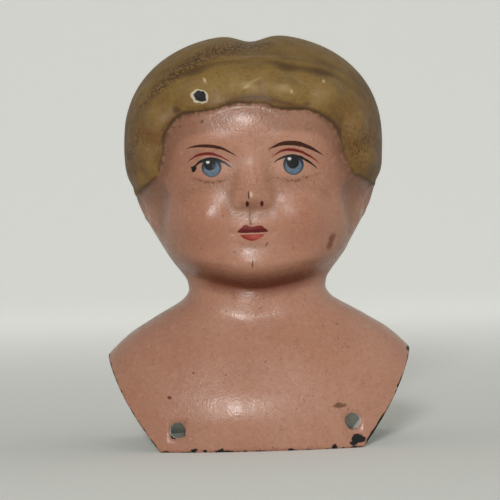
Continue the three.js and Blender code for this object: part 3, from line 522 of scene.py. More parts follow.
class Body:
    """Collects places, in millimetres, and faces of one closed body."""

    def __init__(self):
        self.places = []
        self.marks = []
        self.faces = []
        self.bare = []
        self.count = 0

    def add_places(self, x, y, z, marks=None):
        block = np.stack([np.ravel(x), np.ravel(y), np.ravel(z)], -1)
        self.places.append(block)
        marks = marks or (np.full(len(block), -MARK_REACH), np.zeros(len(block)), np.zeros(len(block)))
        self.marks.append(np.stack([np.ravel(mark) for mark in marks], -1))
        first = self.count
        self.count += len(block)
        return np.arange(first, self.count).reshape(np.shape(x))

    def add_face(self, corners, bare, turned=False):
        self.faces.append(tuple(int(c) for c in (corners[::-1] if turned else corners)))
        self.bare.append(bare)

    def add_grid(self, rows, bare, turned=False, skip=None):
        for j in range(rows.shape[0] - 1):
            for i in range(rows.shape[1] - 1):
                if skip is None or not skip(i, j):
                    corners = (rows[j, i], rows[j, i + 1], rows[j + 1, i + 1], rows[j + 1, i])
                    self.add_face(corners, bare, turned)

    def zip_rims(self, first, second, bare, turned=False, closed=False):
        """Joins two rims that run the same way with triangles, by their share of the way."""
        first, second = list(first), list(second)
        if closed:
            first.append(first[0])
            second.append(second[0])
        i = j = 0
        while i < len(first) - 1 or j < len(second) - 1:
            ahead = (i + 1) / (len(first) - 1) <= (j + 1) / (len(second) - 1)
            if j == len(second) - 1 or (i < len(first) - 1 and ahead):
                self.add_face((first[i], first[i + 1], second[j]), bare, turned)
                i += 1
            else:
                self.add_face((first[i], second[j + 1], second[j]), bare, turned)
                j += 1

    def mesh(self, name):
        """Mesh with equal places merged and collapsed faces dropped."""
        places = np.concatenate(self.places) + np.array([0.0, SEAM_Y, 0.0])
        _, kept, number = np.unique(np.round(places / MERGE), axis=0, return_index=True, return_inverse=True)
        number = np.ravel(number)
        faces = []
        bare = []
        for corners, is_bare in zip(self.faces, self.bare):
            merged = [number[c] for c in corners]
            merged = [c for n, c in enumerate(merged) if c != merged[n - 1]]
            if len(set(merged)) > 2:
                faces.append(merged)
                bare.append(is_bare)
        data = bpy.data.meshes.new(name)
        data.from_pydata((places[kept] * MM).tolist(), [], faces)
        data.polygons.foreach_set("material_index", np.array(bare, np.int32))
        data.polygons.foreach_set("use_smooth", np.ones(len(faces), bool))
        marks = np.concatenate(self.marks)[kept]
        for column, mark in enumerate(("hair_reach", "cavity", "edge_reach")):
            layer = data.attributes.new(mark, "FLOAT", "POINT")
            layer.data.foreach_set("value", marks[:, column].astype(np.float32))
        return data


def put(name, data):
    """New object in the scene."""
    thing = bpy.data.objects.new(name, data)
    bpy.context.scene.collection.objects.link(thing)
    return thing


def column_angles(count, crowding):
    """Angles that crowd towards the middle of the face, with one on each foot corner of the flap."""
    share = np.linspace(-1, 1, count + 1)
    angles = QUARTER * share * (crowding + (1 - crowding) * share**2)
    corner = math.asin(FLAP_FOOT_WIDTH / 2 / float(half_width(0.0)))
    for target in (-corner, corner):
        angles[np.argmin(np.abs(angles - target))] = target
    return angles


def row_levels(counts):
    levels = [start + i / count for start, count in enumerate(counts) for i in range(count)]
    return np.array(levels + [float(CROWN_LEVEL)])


def flap_place(x, z):
    """Angle and level of the flap's skin at places seen from the front."""
    angle = np.arcsin(x / half_width(z))
    edge = edge_height(angle)
    return angle, (z - edge) / (TIP_HEIGHT - edge)


def blurred(values, reach):
    """Mean over a window of cells, along rows and then along columns."""
    for axis in (0, 1):
        padding = [(reach, reach) if n == axis else (0, 0) for n in (0, 1)]
        total = np.cumsum(np.pad(values, padding, mode="edge"), axis)
        total = np.insert(total, 0, 0, axis)
        width = 2 * reach + 1
        high = np.take(total, range(width, total.shape[axis]), axis)
        low = np.take(total, range(0, total.shape[axis] - width), axis)
        values = (high - low) / width
    return values


def paint_marks(side, angle, level):
    """Where the hair paint lies, how far each spot stands above its surroundings, and how far the sheet's
    edge is, in millimetres."""
    x, y, z = blank(side, angle, level)
    if side == FRONT:
        hair = beyond_hairline(x, z)
    else:
        hair = z - nape_foot(angle, z)[0]
    rise = relief(side, angle, x, y, z)
    from_side = (flap_half_width(z) - np.abs(x)) * SIDE_EDGE_NEARNESS
    edge = np.where(level < 1, np.minimum(z, from_side), MARK_REACH)
    edge = np.minimum(edge, np.abs(y) * SEAM_NEARNESS + np.maximum(z - TIP_HEIGHT, 0))
    cavity = rise - blurred(blurred(rise, CAVITY_CELLS), CAVITY_CELLS)
    return np.clip(hair, -MARK_REACH, MARK_REACH), cavity, np.clip(edge, 0, MARK_REACH)


def pierced_face(body, place, side, angles, levels, holes, rim_points, bare, turned):
    """One face of a stamping: a grid with a collar round each sew hole. Returns its rows and hole rims."""
    grid_angle, grid_level = np.meshgrid(angles, levels)
    marks = None if bare else paint_marks(side, grid_angle, grid_level)
    rows = body.add_places(*place(side, grid_angle, grid_level), marks)
    heights = height_at(grid_angle, grid_level)
    blocks = []
    rims = []
    for hole_x, hole_z in holes:
        reach = SEW_HOLE_RADIUS + COLLAR_WIDTH
        across = half_width(hole_z) * np.sin(angles)
        left = np.max(np.nonzero(across < hole_x - reach))
        right = np.min(np.nonzero(across > hole_x + reach))
        inside = heights[:, left:right + 1]
        below = np.nonzero((inside < hole_z - reach).all(1))[0]
        foot = below.max() if len(below) else 0
        head = np.min(np.nonzero((inside > hole_z + reach).all(1)))
        blocks.append((left, right, foot, head))
        border = np.concatenate([rows[foot, left:right], rows[foot:head, right],
                                 rows[head, right:left:-1], rows[head:foot:-1, left]])
        centre_angle, centre_level = flap_place(np.array(hole_x), np.array(hole_z))
        normal = normal_of(lambda a, v: blank(side, a, v), side, centre_angle, centre_level)
        turn = RIM_START + 2 * math.pi * np.arange(rim_points) / rim_points
        lean = math.hypot(normal[0], normal[1])
        rim_x = hole_x + SEW_HOLE_RADIUS * np.cos(turn) * abs(normal[1]) / lean
        rim_z = hole_z + SEW_HOLE_RADIUS * np.sin(turn) * lean
        rim = body.add_places(*place(side, *flap_place(rim_x, rim_z)))
        body.zip_rims(border, rim, bare, turned, closed=True)
        rims.append(rim)

    def skip(i, j):
        return any(left <= i < right and foot <= j < head for left, right, foot, head in blocks)

    body.add_grid(rows, bare, turned, skip)
    return rows, rims


def seam_place(angle, level, inset, behind):
    """Place on the seam's section: this far in from the rim, and this far behind the seam plane."""
    x, _, z = blank(FRONT, angle, level)
    normal = normal_of(lambda a, v: blank(FRONT, a, v), FRONT, angle, level)
    return x - inset * normal[..., 0], behind + 0 * x, z - inset * normal[..., 2]


def back_lining(side, angle, level):
    """Inside the back stamping the sheet steps in at the seam, to where its lap flange starts."""
    at_seam = (np.abs(angle) >= QUARTER - TINY) | (level >= CROWN_LEVEL)
    rim = seam_place(angle, np.maximum(level, 1.0), FLANGE_INSET, LAP_RETURN)
    x, y, z = lining(side, angle, level)
    return np.where(at_seam, rim[0], x), np.where(at_seam, rim[1], y), np.where(at_seam, rim[2], z)


def over_the_crown(rows, levels):
    """Corners along the seam, from the left tip over the crown to the right tip."""
    up = rows[levels >= 1]
    return np.concatenate([up[:, 0], up[-2::-1, -1]])


def add_lap_flange(body, outer, fine_levels, inner, coarse_levels):
    """The flange of the back stamping runs forward under the rim of the front stamping."""
    levels = fine_levels[fine_levels >= 1]
    angle = np.concatenate([np.full(len(levels), -QUARTER), np.full(len(levels) - 1, QUARTER)])
    level = np.concatenate([levels, levels[-2::-1]])
    outer_inset = FLANGE_INSET - SHEET
    sections = [over_the_crown(outer, fine_levels)]
    for inset, behind in ((outer_inset, SEAM_GAP), (outer_inset, -LAP_LENGTH), (FLANGE_INSET, -LAP_LENGTH)):
        sections.append(body.add_places(*seam_place(angle, level, inset, behind)))
    lining_rim = over_the_crown(inner, coarse_levels)
    body.add_grid(np.stack(sections, 1), BARE)
    body.zip_rims(sections[-1], lining_rim, BARE, turned=True)
    for end, turned in ((0, True), (-1, False)):
        tip = [section[end] for section in sections] + [lining_rim[end]]
        for corners in flange_end:
            body.add_face([tip[c] for c in corners], BARE, turned)


def stamped_shell(name, side, holes, columns, counts):
    """Front or back stamping as one closed body: painted skin, bare lining, edges and sew holes."""
    body = Body()
    fine_angles = column_angles(columns, COLUMN_CROWDING)
    fine_levels = row_levels(counts)
    coarse_angles = column_angles(columns // LINING_STEP, COLUMN_CROWDING)
    coarse_levels = row_levels([max(count // LINING_STEP, FEWEST_ROWS) for count in counts])
    turned = side == BACK
    inside = lining if side == FRONT else back_lining
    outer, outer_rims = pierced_face(body, skin, side, fine_angles, fine_levels, holes,
                                     FINE_RIM_POINTS, PAINTED, turned)
    inner, inner_rims = pierced_face(body, inside, side, coarse_angles, coarse_levels, holes,
                                     COARSE_RIM_POINTS, BARE, not turned)
    body.zip_rims(inner[0], outer[0], BARE, turned)
    if side == FRONT:
        body.zip_rims(outer[:, 0], inner[:, 0], BARE)
        body.zip_rims(inner[:, -1], outer[:, -1], BARE)
    else:
        add_lap_flange(body, outer, fine_levels, inner, coarse_levels)
    for near, far in zip(outer_rims, inner_rims):
        body.zip_rims(near, far, BARE, turned, closed=True)
    return put(name, body.mesh(name))


class Num:
    """A number worked out by shader nodes, with plain arithmetic."""

    def __init__(self, tree, socket):
        self.tree = tree
        self.socket = socket

    def math(self, operation, *others):
        node = self.tree.nodes.new("ShaderNodeMath")
        node.operation = operation
        for slot, value in zip(node.inputs, (self, *others)):
            if isinstance(value, Num):
                self.tree.links.new(value.socket, slot)
            else:
                slot.default_value = value
        return Num(self.tree, node.outputs[0])

    def __add__(self, other):
        return self.math("ADD", other)

    def __sub__(self, other):
        return self.math("SUBTRACT", other)

    def __mul__(self, other):
        return self.math("MULTIPLY", other)

    def size(self):
        return self.math("ABSOLUTE")

    def most(self, other):
        return self.math("MAXIMUM", other)

    def rise(self, low, high):
        """0 below low and 1 above high, or the other way round where low is the larger."""
        node = self.tree.nodes.new("ShaderNodeMapRange")
        node.interpolation_type = "SMOOTHSTEP"
        self.tree.links.new(self.socket, node.inputs["Value"])
        node.inputs["From Min"].default_value = low
        node.inputs["From Max"].default_value = high
        return Num(self.tree, node.outputs["Result"])


def numbers_of(tree, vector):
    """The x, y and z of a vector socket."""
    node = tree.nodes.new("ShaderNodeSeparateXYZ")
    tree.links.new(vector, node.inputs[0])
    return [Num(tree, output) for output in node.outputs]


def srgb(red, green, blue):
    """Linear colour of a tone written in 0 to 255, as a picture shows it."""
    shares = [value / 255 for value in (red, green, blue)]
    return tuple(v / 12.92 if v <= 0.04045 else ((v + 0.055) / 1.055)**2.4 for v in shares) + (1.0,)


TAPER_KNOTS = (0.0, 0.03, 0.1, 0.25, 0.5, 0.75, 0.9, 0.97, 1.0)
FLATTEN = 1e6


class Painter:
    """Shader nodes of one material, in millimetres of the piece's own frame, with the colour so far."""

    def __init__(self, name, ground):
        self.material = bpy.data.materials.new(name)
        self.material.use_nodes = True
        self.tree = self.material.node_tree
        self.shader = self.tree.nodes["Principled BSDF"]
        self.colour = srgb(*ground)
        coordinates = self.tree.nodes.new("ShaderNodeTexCoord")
        self.place = self.vector("SCALE", coordinates.outputs["Object"])
        self.place.node.inputs["Scale"].default_value = 1 / MM

    def fill(self, slot, value):
        if isinstance(value, bpy.types.NodeSocket):
            self.tree.links.new(value, slot)
        else:
            slot.default_value = value

    def vector(self, operation, *values):
        node = self.tree.nodes.new("ShaderNodeVectorMath")
        node.operation = operation
        for slot, value in zip(node.inputs, values):
            self.fill(slot, value)
        return node.outputs["Vector"]

    def noise_node(self, scale, detail, roughness=0.5, seed=0.0):
        """Noise with this many swells per millimetre."""
        node = self.tree.nodes.new("ShaderNodeTexNoise")
        place = self.vector("ADD", self.place, (seed, seed, seed)) if seed else self.place
        self.tree.links.new(place, node.inputs["Vector"])
        node.inputs["Scale"].default_value = scale
        node.inputs["Detail"].default_value = detail
        node.inputs["Roughness"].default_value = roughness
        return node

    def noise(self, scale, detail=2.0, roughness=0.5, seed=0.0):
        return Num(self.tree, self.noise_node(scale, detail, roughness, seed).outputs[0])

    def swayed(self, amount, scale):
        """The place, led astray by a little noise, so that a painted edge isn't ruled."""
        node = self.noise_node(scale, 2.0)
        away = self.vector("SUBTRACT", node.outputs["Color"], (0.5, 0.5, 0.5))
        away = self.vector("MULTIPLY", away, (amount, amount, amount))
        return self.vector("ADD", self.place, away)

    def cracks(self, scale):
        """0 on the edges of irregular cells, this many to a millimetre."""
        node = self.tree.nodes.new("ShaderNodeTexVoronoi")
        node.feature = "DISTANCE_TO_EDGE"
        self.tree.links.new(self.swayed(0.5, 0.7), node.inputs["Vector"])
        node.inputs["Scale"].default_value = scale
        return Num(self.tree, node.outputs["Distance"])

    def mark(self, name):
        node = self.tree.nodes.new("ShaderNodeAttribute")
        node.attribute_name = name
        return Num(self.tree, node.outputs["Fac"])

    def over(self, below, above, share):
        """One colour laid over another, as far as the share says."""
        node = self.tree.nodes.new("ShaderNodeMix")
        node.data_type = "RGBA"
        self.fill(node.inputs[6], below)
        self.fill(node.inputs[7], above)
        self.tree.links.new(share.socket, node.inputs[0])
        return node.outputs[2]

    def coat(self, tone, share):
        """Lays a tone over the colour so far."""
        self.colour = self.over(self.colour, srgb(*tone), share)

    def curve(self, share, knots):
        """Float curve through knots (share, value), level beyond its ends."""
        node = self.tree.nodes.new("ShaderNodeFloatCurve")
        node.mapping.extend = "HORIZONTAL"
        line = node.mapping.curves[0]
        while len(line.points) < len(knots):
            line.points.new(0.5, 0.5)
        for point, knot in zip(line.points, knots):
            point.location = knot
        node.mapping.update()
        self.tree.links.new(share.socket, node.inputs["Value"])
        return Num(self.tree, node.outputs[0])

    def line_height(self, share, points):
        """Height of the smooth line through points, which run from left to right."""
        left, right = points[0][0], points[-1][0]
        low = min(height for _, height in points)
        high = max(height for _, height in points)
        knots = [((at - left) / (right - left), (height - low) / (high - low)) for at, height in points]
        return self.curve(share, knots).math("MULTIPLY_ADD", high - low, low)

    def share_along(self, x, points):
        left, right = points[0][0], points[-1][0]
        return x.math("MULTIPLY_ADD", 1 / (right - left), -left / (right - left))

    def stroke(self, x, z, points, half_width, taper=0.55, soft=0.1):
        """A brush stroke that follows the points and thins out at both ends."""
        share = self.share_along(x, points)
        knots = [(at, (4 * at * (1 - at))**taper * half_width) for at in TAPER_KNOTS]
        off = (z - self.line_height(share, points)).size()
        return (self.curve(share, knots) - off).rise(0.0, soft)

    def between(self, x, z, top, bottom, soft=0.12):
        """The area between two lines over the same width."""
        share = self.share_along(x, top)
        under = (self.line_height(share, top) - z).rise(-soft, soft)
        above = (z - self.line_height(share, bottom)).rise(-soft, soft)
        left, right = top[0][0], top[-1][0]
        return under * above * (x.rise(left - soft, left + soft) * x.rise(right + soft, right - soft))

    def spot(self, place, centre, half_x, half_z, soft=0.12, tilt=0.0):
        """A filled ellipse, as seen from the front."""
        node = self.tree.nodes.new("ShaderNodeMapping")
        node.vector_type = "TEXTURE"
        node.inputs["Location"].default_value = (centre[0], 0.0, centre[1])
        node.inputs["Rotation"].default_value = (0.0, math.radians(-tilt), 0.0)
        node.inputs["Scale"].default_value = (half_x, FLATTEN, half_z)
        self.tree.links.new(place, node.inputs["Vector"])
        far = self.tree.nodes.new("ShaderNodeVectorMath")
        far.operation = "LENGTH"
        self.tree.links.new(node.outputs[0], far.inputs[0])
        share = soft / min(half_x, half_z)
        return Num(self.tree, far.outputs["Value"]).rise(1 + share, 1 - share)

    def spots(self, place, rows, soft):
        """Coats in ellipses: x, height, half width, half height, tilt in degrees, tone and strength."""
        for at_x, at_z, half_x, half_z, tilt, tone, strength in rows:
            self.coat(tone, self.spot(place, (at_x, at_z), half_x, half_z, soft, tilt) * strength)

    def finish(self, rough, height, depth):
        """Hands the shader the colour so far, a roughness and a relief of so many millimetres."""
        self.tree.links.new(self.colour, self.shader.inputs["Base Color"])
        self.tree.links.new(rough.socket, self.shader.inputs["Roughness"])
        node = self.tree.nodes.new("ShaderNodeBump")
        node.inputs["Distance"].default_value = depth * MM
        self.tree.links.new(height.socket, node.inputs["Height"])
        self.tree.links.new(node.outputs["Normal"], self.shader.inputs["Normal"])
        return self.material


# Tones as a picture shows them, from 0 to 255
SKIN = (169, 121, 98)
SKIN_WARM = (157, 102, 80)
SKIN_PALE = (179, 136, 115)
SKIN_LIGHT = (188, 150, 128)
SKIN_SHADED = (140, 96, 76)
TEMPLE_SHADE = (134, 92, 72)
CHIN_SHADE = (96, 42, 24)
STAIN = (140, 98, 72)
CRAZING = (112, 70, 50)
SPECK = (86, 52, 38)
GRIME = (106, 62, 38)
SCUFF = (104, 70, 46)
SCRAPE = (108, 46, 30)
RUST = (96, 34, 24)
RUBBED_PAINT_HIGHLIGHT = (210, 178, 156)
INK = (58, 32, 24)
SCAR = (112, 62, 46)
BLACK = (8, 6, 6)
IRIS_RIM = (30, 37, 46)
IRIS = (96, 113, 128)
IRIS_SMUDGE = (52, 66, 80)
GLINT = (196, 198, 192)
LID = (106, 6, 6)
LID_BLUR = (160, 76, 62)
BROW = (58, 24, 10)
NOSTRIL = (70, 10, 8)
UPPER_LIP = (106, 8, 5)
LIP_LINE = (72, 4, 3)
LOWER_LIP = (136, 32, 22)
LIP_SHINE = (178, 84, 68)
HAIR = (127, 99, 48)
HAIR_DARK_AND_SHADE = (88, 62, 26)
HAIR_DUSTY = (112, 85, 38)
HAIR_RUSTY = (114, 72, 38)
HAIR_RIM = (80, 62, 36)
HAIR_LIGHT = (146, 120, 76)
HAIR_BARED = (112, 78, 42)
HAIR_SHADE = (80, 52, 28)
HOLLOW_SHADE_AND_GRIME = (70, 46, 22)
RAISED_HAIR_HIGHLIGHT = (154, 128, 82)
HAIRLINE = (84, 54, 28)
BAND = (124, 94, 48)
STIPPLE = (60, 35, 11)
SIDE_STIPPLE = (60, 34, 12)
CREST_HIGHLIGHT = (134, 118, 86)
CURL_HIGHLIGHT = (176, 152, 108)
CHIPPED_AND_GLINT = (196, 176, 136)
SHEEN = (166, 142, 100)
PRIMER = (190, 178, 156)
BARE_IRON = (22, 20, 20)
TIN = (240, 240, 233)
TIN_STAIN = (176, 158, 132)
TIN_DULL = (232, 231, 224)
SEAM_SKIN = (128, 84, 64)
SEAM_HAIR = (84, 62, 32)
SOLDER = (150, 151, 152)
SOLDER_DARK = (98, 96, 92)
PAPER = (228, 229, 224)
PAPER_GLOW = (236, 237, 231)
SOFT_LIGHT = (244, 245, 241)

# Painted lines of the face and hair, as x and height in millimetres, from left to right
left_lash = [(-15.62, 70.87), (-14.57, 72.39), (-12.89, 73.39), (-10.7, 73.72), (-8.54, 73.22),
             (-6.67, 72.22), (-5.62, 71.26)]
right_lash = [(4.95, 72.36), (6.59, 73.39), (8.78, 73.97), (10.93, 73.81), (13.1, 72.84), (14.72, 71.72),
              (15.86, 70.64)]
left_crease = [(-17.1, 72.64), (-15.6, 74.06), (-13.65, 74.91), (-11.48, 75.09), (-9.32, 74.61),
               (-7.18, 73.6), (-5.59, 72.5)]
right_crease = [(4.02, 73.13), (5.8, 74.69), (8.27, 75.51), (10.69, 75.27), (13.41, 74.17), (15.31, 72.94),
                (16.77, 71.58)]
left_brow = [(-17.33, 76.31), (-14.95, 76.98), (-11.95, 77.0), (-9.26, 76.62), (-6.84, 75.71),
             (-4.98, 74.59), (-3.93, 73.89)]
right_brow = [(3.13, 75.18), (5.33, 76.46), (7.76, 77.08), (10.49, 77.03), (13.46, 76.18), (15.91, 74.97),
              (17.8, 73.75)]
upper_lip_top = [(-4.7, 55.25), (-3.62, 56.3), (-2.5, 56.92), (-1.02, 56.48), (1.01, 56.77), (2.12, 56.14),
                 (3.1, 55.2)]
upper_lip_bottom = [(-4.7, 55.25), (-1.03, 54.98), (3.1, 55.2)]
lower_lip_top = [(-4.0, 54.46), (-1.04, 54.6), (2.13, 54.45)]
lower_lip_bottom = [(-4.0, 54.46), (-2.58, 53.38), (-0.99, 52.96), (0.68, 53.49), (2.13, 54.45)]
left_bag = [(-16.4, 69.6), (-13.67, 68.54), (-10.92, 67.93), (-7.4, 68.31), (-6.2, 69.0)]
right_bag = [(4.6, 69.2), (5.81, 68.44), (9.55, 67.86), (13.34, 68.55), (16.8, 69.8)]
speckled_band = [(-31.6, 82.4), (-30.4, 85.6), (-28.2, 88.4), (-23.42, 92.54), (-18.18, 96.92),
                 (-13.03, 99.87), (-7.38, 102.14), (0.5, 103.1), (8.0, 103.0)]
fringe_shade = [(-9.6, 86.9), (-5.13, 88.1), (0.13, 88.7), (4.39, 88.0), (9.6, 86.6), (15.8, 85.4)]
crest_highlight_line = [(-9.0, 98.3), (-7.41, 98.63), (-2.34, 99.55), (5.26, 99.63), (14.15, 98.79), (17.94, 97.22),
              (20.15, 95.08), (24.24, 92.59), (26.47, 89.25)]

# Eyes: middle and radius of the iris, middle and radius of the pupil, middle of the glint, lash above
eyes = [((-10.71, 71.69), 2.5, (-11.1, 72.4), 1.5, (-11.62, 73.02), left_lash),
        ((9.8, 71.79), 2.6, (9.67, 72.34), 1.57, (8.84, 73.3), right_lash)]
GLINT_RADIUS = 0.42
# Middle of the painted highlight on the lower lip
lip_shine = (0.0, 53.9)

# Broad places on the skin: the cheeks' blush, and areas of fine cracks with their half width and height
blushes = [(-13.0, 55.5), (11.5, 55.5)]
BLUSH_RADIUS = 7.0
crazed_areas = [((0.0, 84.0), 9.0, 6.0), ((0.0, 67.4), 19.0, 2.6)]
CHIN_HOLLOW_HEIGHT = 41.6
CHIN_HOLLOW_BOW = 0.0125

# Ranges of x, distance from the middle line, depth or height over which a tone sets in
SHADED_SIDE = (-6.0, -22.0)
TEMPLE_OUT = (11.0, 23.0)
TEMPLE_UP = (58.0, 70.0)
CHIN_HOLLOW_SIDES = (20.0, 10.0)
CHIN_HOLLOW_FRONT = (-4.0, -8.0)
LIP_LINE_FADE = (56.4, 55.4)
LEFT_HAIR_SHADE = (-12.0, -28.0)
RIGHT_HAIR_SHADE = (12.0, 28.0)
DUSTY_CROWN = (94.0, 102.0)
RUSTY_FOOT = (95.0, 77.0)
HAIR_RIM_OUT = (24.0, 33.0)
WORN_CORNER_OUT = (26.0, 27.0)
WORN_CORNER_FOOT = (9.5, 7.5)
SEAM_BESIDE = (1.1, 0.6)
SEAM_PAINT_FOOT = (TIP_HEIGHT, TIP_HEIGHT + 1.5)
SEAM_HAIR_FOOT = (62.0, 66.0)

# Painted and worn spots, as rows for Painter.spots
lash_ends = [(-15.15, 71.45, 0.55, 0.95, -25, BLACK, 1.0), (-15.5, 71.75, 0.5, 0.35, 0, BLACK, 1.0)]
nostrils = [(-2.01, 62.15, 0.44, 0.7, 0, NOSTRIL, 1.0), (1.63, 62.15, 0.44, 0.7, 0, NOSTRIL, 1.0)]
skin_scars = [
    (-1.6, 64.3, 0.22, 1.0, 0, INK, 0.9), (-1.45, 59.4, 0.14, 2.4, -2, SCAR, 0.7),
    (-1.3, 57.5, 0.3, 0.7, 10, INK, 0.6), (-1.14, 47.3, 0.16, 1.1, -3, INK, 0.9),
    (2.59, 51.98, 0.28, 0.6, -30, SCAR, 0.8), (-12.73, 83.18, 0.3, 0.5, -30, INK, 0.8),
    (-18.33, 82.23, 0.2, 0.25, 0, INK, 0.7), (17.03, 83.73, 0.4, 0.22, -20, INK, 0.7),
    (-23.09, 13.78, 0.55, 0.42, -10, RUST, 0.9), (-16.92, 19.81, 0.26, 0.26, 0, INK, 0.8),
    (-5.1, 69.9, 0.2, 0.2, 0, SCAR, 0.8), (20.35, 31.04, 0.2, 0.2, 0, INK, 0.7),
    (16.59, 30.69, 0.16, 0.16, 0, INK, 0.6), (22.91, 25.15, 0.45, 0.35, 0, SCAR, 0.35),
    (-8.2, 59.4, 0.24, 0.24, 0, SCAR, 0.6), (-17.6, 63.6, 0.18, 0.18, 0, SCAR, 0.7),
    (0.3, 77.5, 0.12, 7.5, -3, SCAR, 0.16), (-1.2, 68.5, 0.12, 4.5, 4, SCAR, 0.18),
    (1.6, 82.6, 0.1, 3.2, -8, SCAR, 0.25), (-15.4, 66.3, 0.2, 0.2, 0, INK, 0.5),
    (5.9, 68.6, 0.22, 0.16, 0, INK, 0.6), (-3.4, 66.0, 0.16, 0.2, 0, SCAR, 0.7),
    (3.1, 70.6, 0.16, 0.16, 0, INK, 0.6), (13.9, 63.9, 0.2, 0.14, 0, SCAR, 0.6),
]
# Painted highlight on the nose tip, a pale spot like rubbed paint
nose_tip_highlight = [(-1.0, 64.5, 0.4, 0.5, 0, RUBBED_PAINT_HIGHLIGHT, 0.75)]
cheek_scrapes = [(19.3, 53.2, 0.75, 1.3, -28, SCRAPE, 0.75), (18.6, 51.3, 0.75, 1.1, -28, SCRAPE, 0.75)]
strayed_hair = [(31.2, 66.8, 1.4, 3.4, 20, HAIR_BARED, 0.7), (-31.0, 66.0, 1.4, 3.4, -20, HAIR_BARED, 0.7)]
chest_scuff = [(19.99, 10.77, 1.75, 0.62, 3, SCUFF, 0.9)]
# Painted highlights on the locks of the fringe: small pale glints like chips, and broader sheen
hair_glints = [
    (-11.83, 93.47, 0.35, 0.8, 25, CHIPPED_AND_GLINT, 0.7), (17.99, 92.6, 0.3, 0.45, 0, CHIPPED_AND_GLINT, 0.7),
    (9.74, 89.79, 0.4, 0.5, 0, CHIPPED_AND_GLINT, 0.7), (-1.3, 91.4, 0.8, 0.3, 25, CHIPPED_AND_GLINT, 0.7),
]
hair_sheen = [(7.4, 90.6, 2.6, 0.9, -15, SHEEN, 0.45), (-0.9, 91.6, 1.8, 0.9, -15, SHEEN, 0.45)]
# Where the sides of the hair are stippled with dirt: x, height, half width, half height and tilt
dirty_sides = [(27.8, 77.0, 3.4, 8.0, 18), (-31.0, 76.0, 3.0, 7.0, -12)]
# Where the paint is gone down to the iron, in the same terms
bare_spots = [
    (24.1, 2.3, 1.4, 1.1, 20), (25.3, 1.9, 1.1, 0.9, 0), (23.4, 1.2, 1.2, 0.6, 0),
    (18.44, 0.5, 0.6, 0.55, 0), (-17.18, 0.5, 0.8, 0.5, 0), (-14.19, 0.4, 0.6, 0.45, 0),
    (-10.73, 0.3, 1.3, 0.4, 0), (-39.68, 24.0, 0.45, 0.7, 20), (39.5, 23.7, 0.6, 0.6, 0),
]
# The chip in the fringe, down to the iron, and the pale primer round it
CHIP = (-13.05, 89.3, 1.6, 1.35, -20)
CHIP_RIM = (-13.1, 89.3, 2.15, 1.75, -10)
# Where the gloss is rubbed off: x, height, half width, half height, softness and added roughness
dull_spots = [
    (-0.8, 71.5, 3.0, 6.0, 2.0, 0.12), (9.0, 62.0, 6.0, 5.0, 3.0, 0.1), (-0.8, 55.2, 4.6, 2.4, 0.8, 0.25),
    (-10.9, 72.2, 3.4, 2.6, 0.8, 0.25), (9.7, 72.2, 3.4, 2.6, 0.8, 0.25),
]


def lay_skin(paint, x, z):
    """Aged flesh enamel, warm on the cheeks, with fine cracks and specks, and painted shade towards the left
    side and on the temples.
    """
    broad = paint.noise(0.06, 3.0).rise(0.3, 0.7)
    fine = paint.noise(0.9, 4.0, 0.6, seed=7.0)
    paint.coat(SKIN_PALE, broad * 0.45)
    for cheek in blushes:
        paint.coat(SKIN_WARM, paint.spot(paint.place, cheek, BLUSH_RADIUS, BLUSH_RADIUS, 5.5) * 0.5)
    # Painted shade: the face darker towards its left side
    paint.coat(SKIN_SHADED, x.rise(*SHADED_SIDE) * 0.28)
    # Painted shade on the temples
    paint.coat(TEMPLE_SHADE, x.size().rise(*TEMPLE_OUT) * z.rise(*TEMPLE_UP) * 0.8)
    paint.coat(SKIN_WARM, fine.rise(0.5, 0.7) * 0.34)
    paint.coat(SKIN_LIGHT, fine.rise(0.47, 0.28) * 0.3)
    paint.coat(STAIN, paint.noise(0.22, 4.0, 0.65, seed=21.0).rise(0.58, 0.75) * 0.35)
    crazed = paint.noise(0.25, 2.0, seed=3.0).rise(0.5, 0.65) * 0.5
    for at, half_x, half_z in crazed_areas:
        crazed = crazed.most(paint.spot(paint.place, at, half_x, half_z, 1.6))
    paint.coat(CRAZING, paint.cracks(0.7).rise(0.05, 0.0) * crazed * 0.5)
    small = paint.noise(2.9, 2.0, 0.4, seed=12.0).rise(0.68, 0.74)
    large = paint.noise(1.7, 2.0, 0.4, seed=17.0).rise(0.72, 0.76)
    paint.coat(SPECK, small.most(large) * 0.75)


def shade_chin(paint, x, y, z):
    """Painted shade: darker, redder paint in the hollow under the chin."""
    middle = (z - x * x * CHIN_HOLLOW_BOW - CHIN_HOLLOW_HEIGHT).size()
    hollow = middle.rise(4.4, 0.4) * x.size().rise(*CHIN_HOLLOW_SIDES) * y.rise(*CHIN_HOLLOW_FRONT)
    paint.coat(CHIN_SHADE, hollow * 0.85)


def mark_skin(paint, near, x, z):
    """Scars, grime under the eyes, scrapes and scuffs, and a painted highlight on the nose tip."""
    paint.spots(near, skin_scars, 0.1)
    # Painted highlight on the nose tip
    paint.spots(near, nose_tip_highlight, 0.3)
    broken = paint.noise(1.6, 3.0, seed=4.0).rise(0.47, 0.57)
    for bag in (left_bag, right_bag):
        paint.coat(GRIME, paint.stroke(x, z, bag, 0.8, 0.3, 0.9) * (broken * 0.75 + 0.15))
    rough = paint.swayed(0.9, 0.9)
    paint.spots(rough, cheek_scrapes, 0.4)
    paint.spots(rough, strayed_hair, 0.9)
    paint.spots(rough, chest_scuff, 0.2)


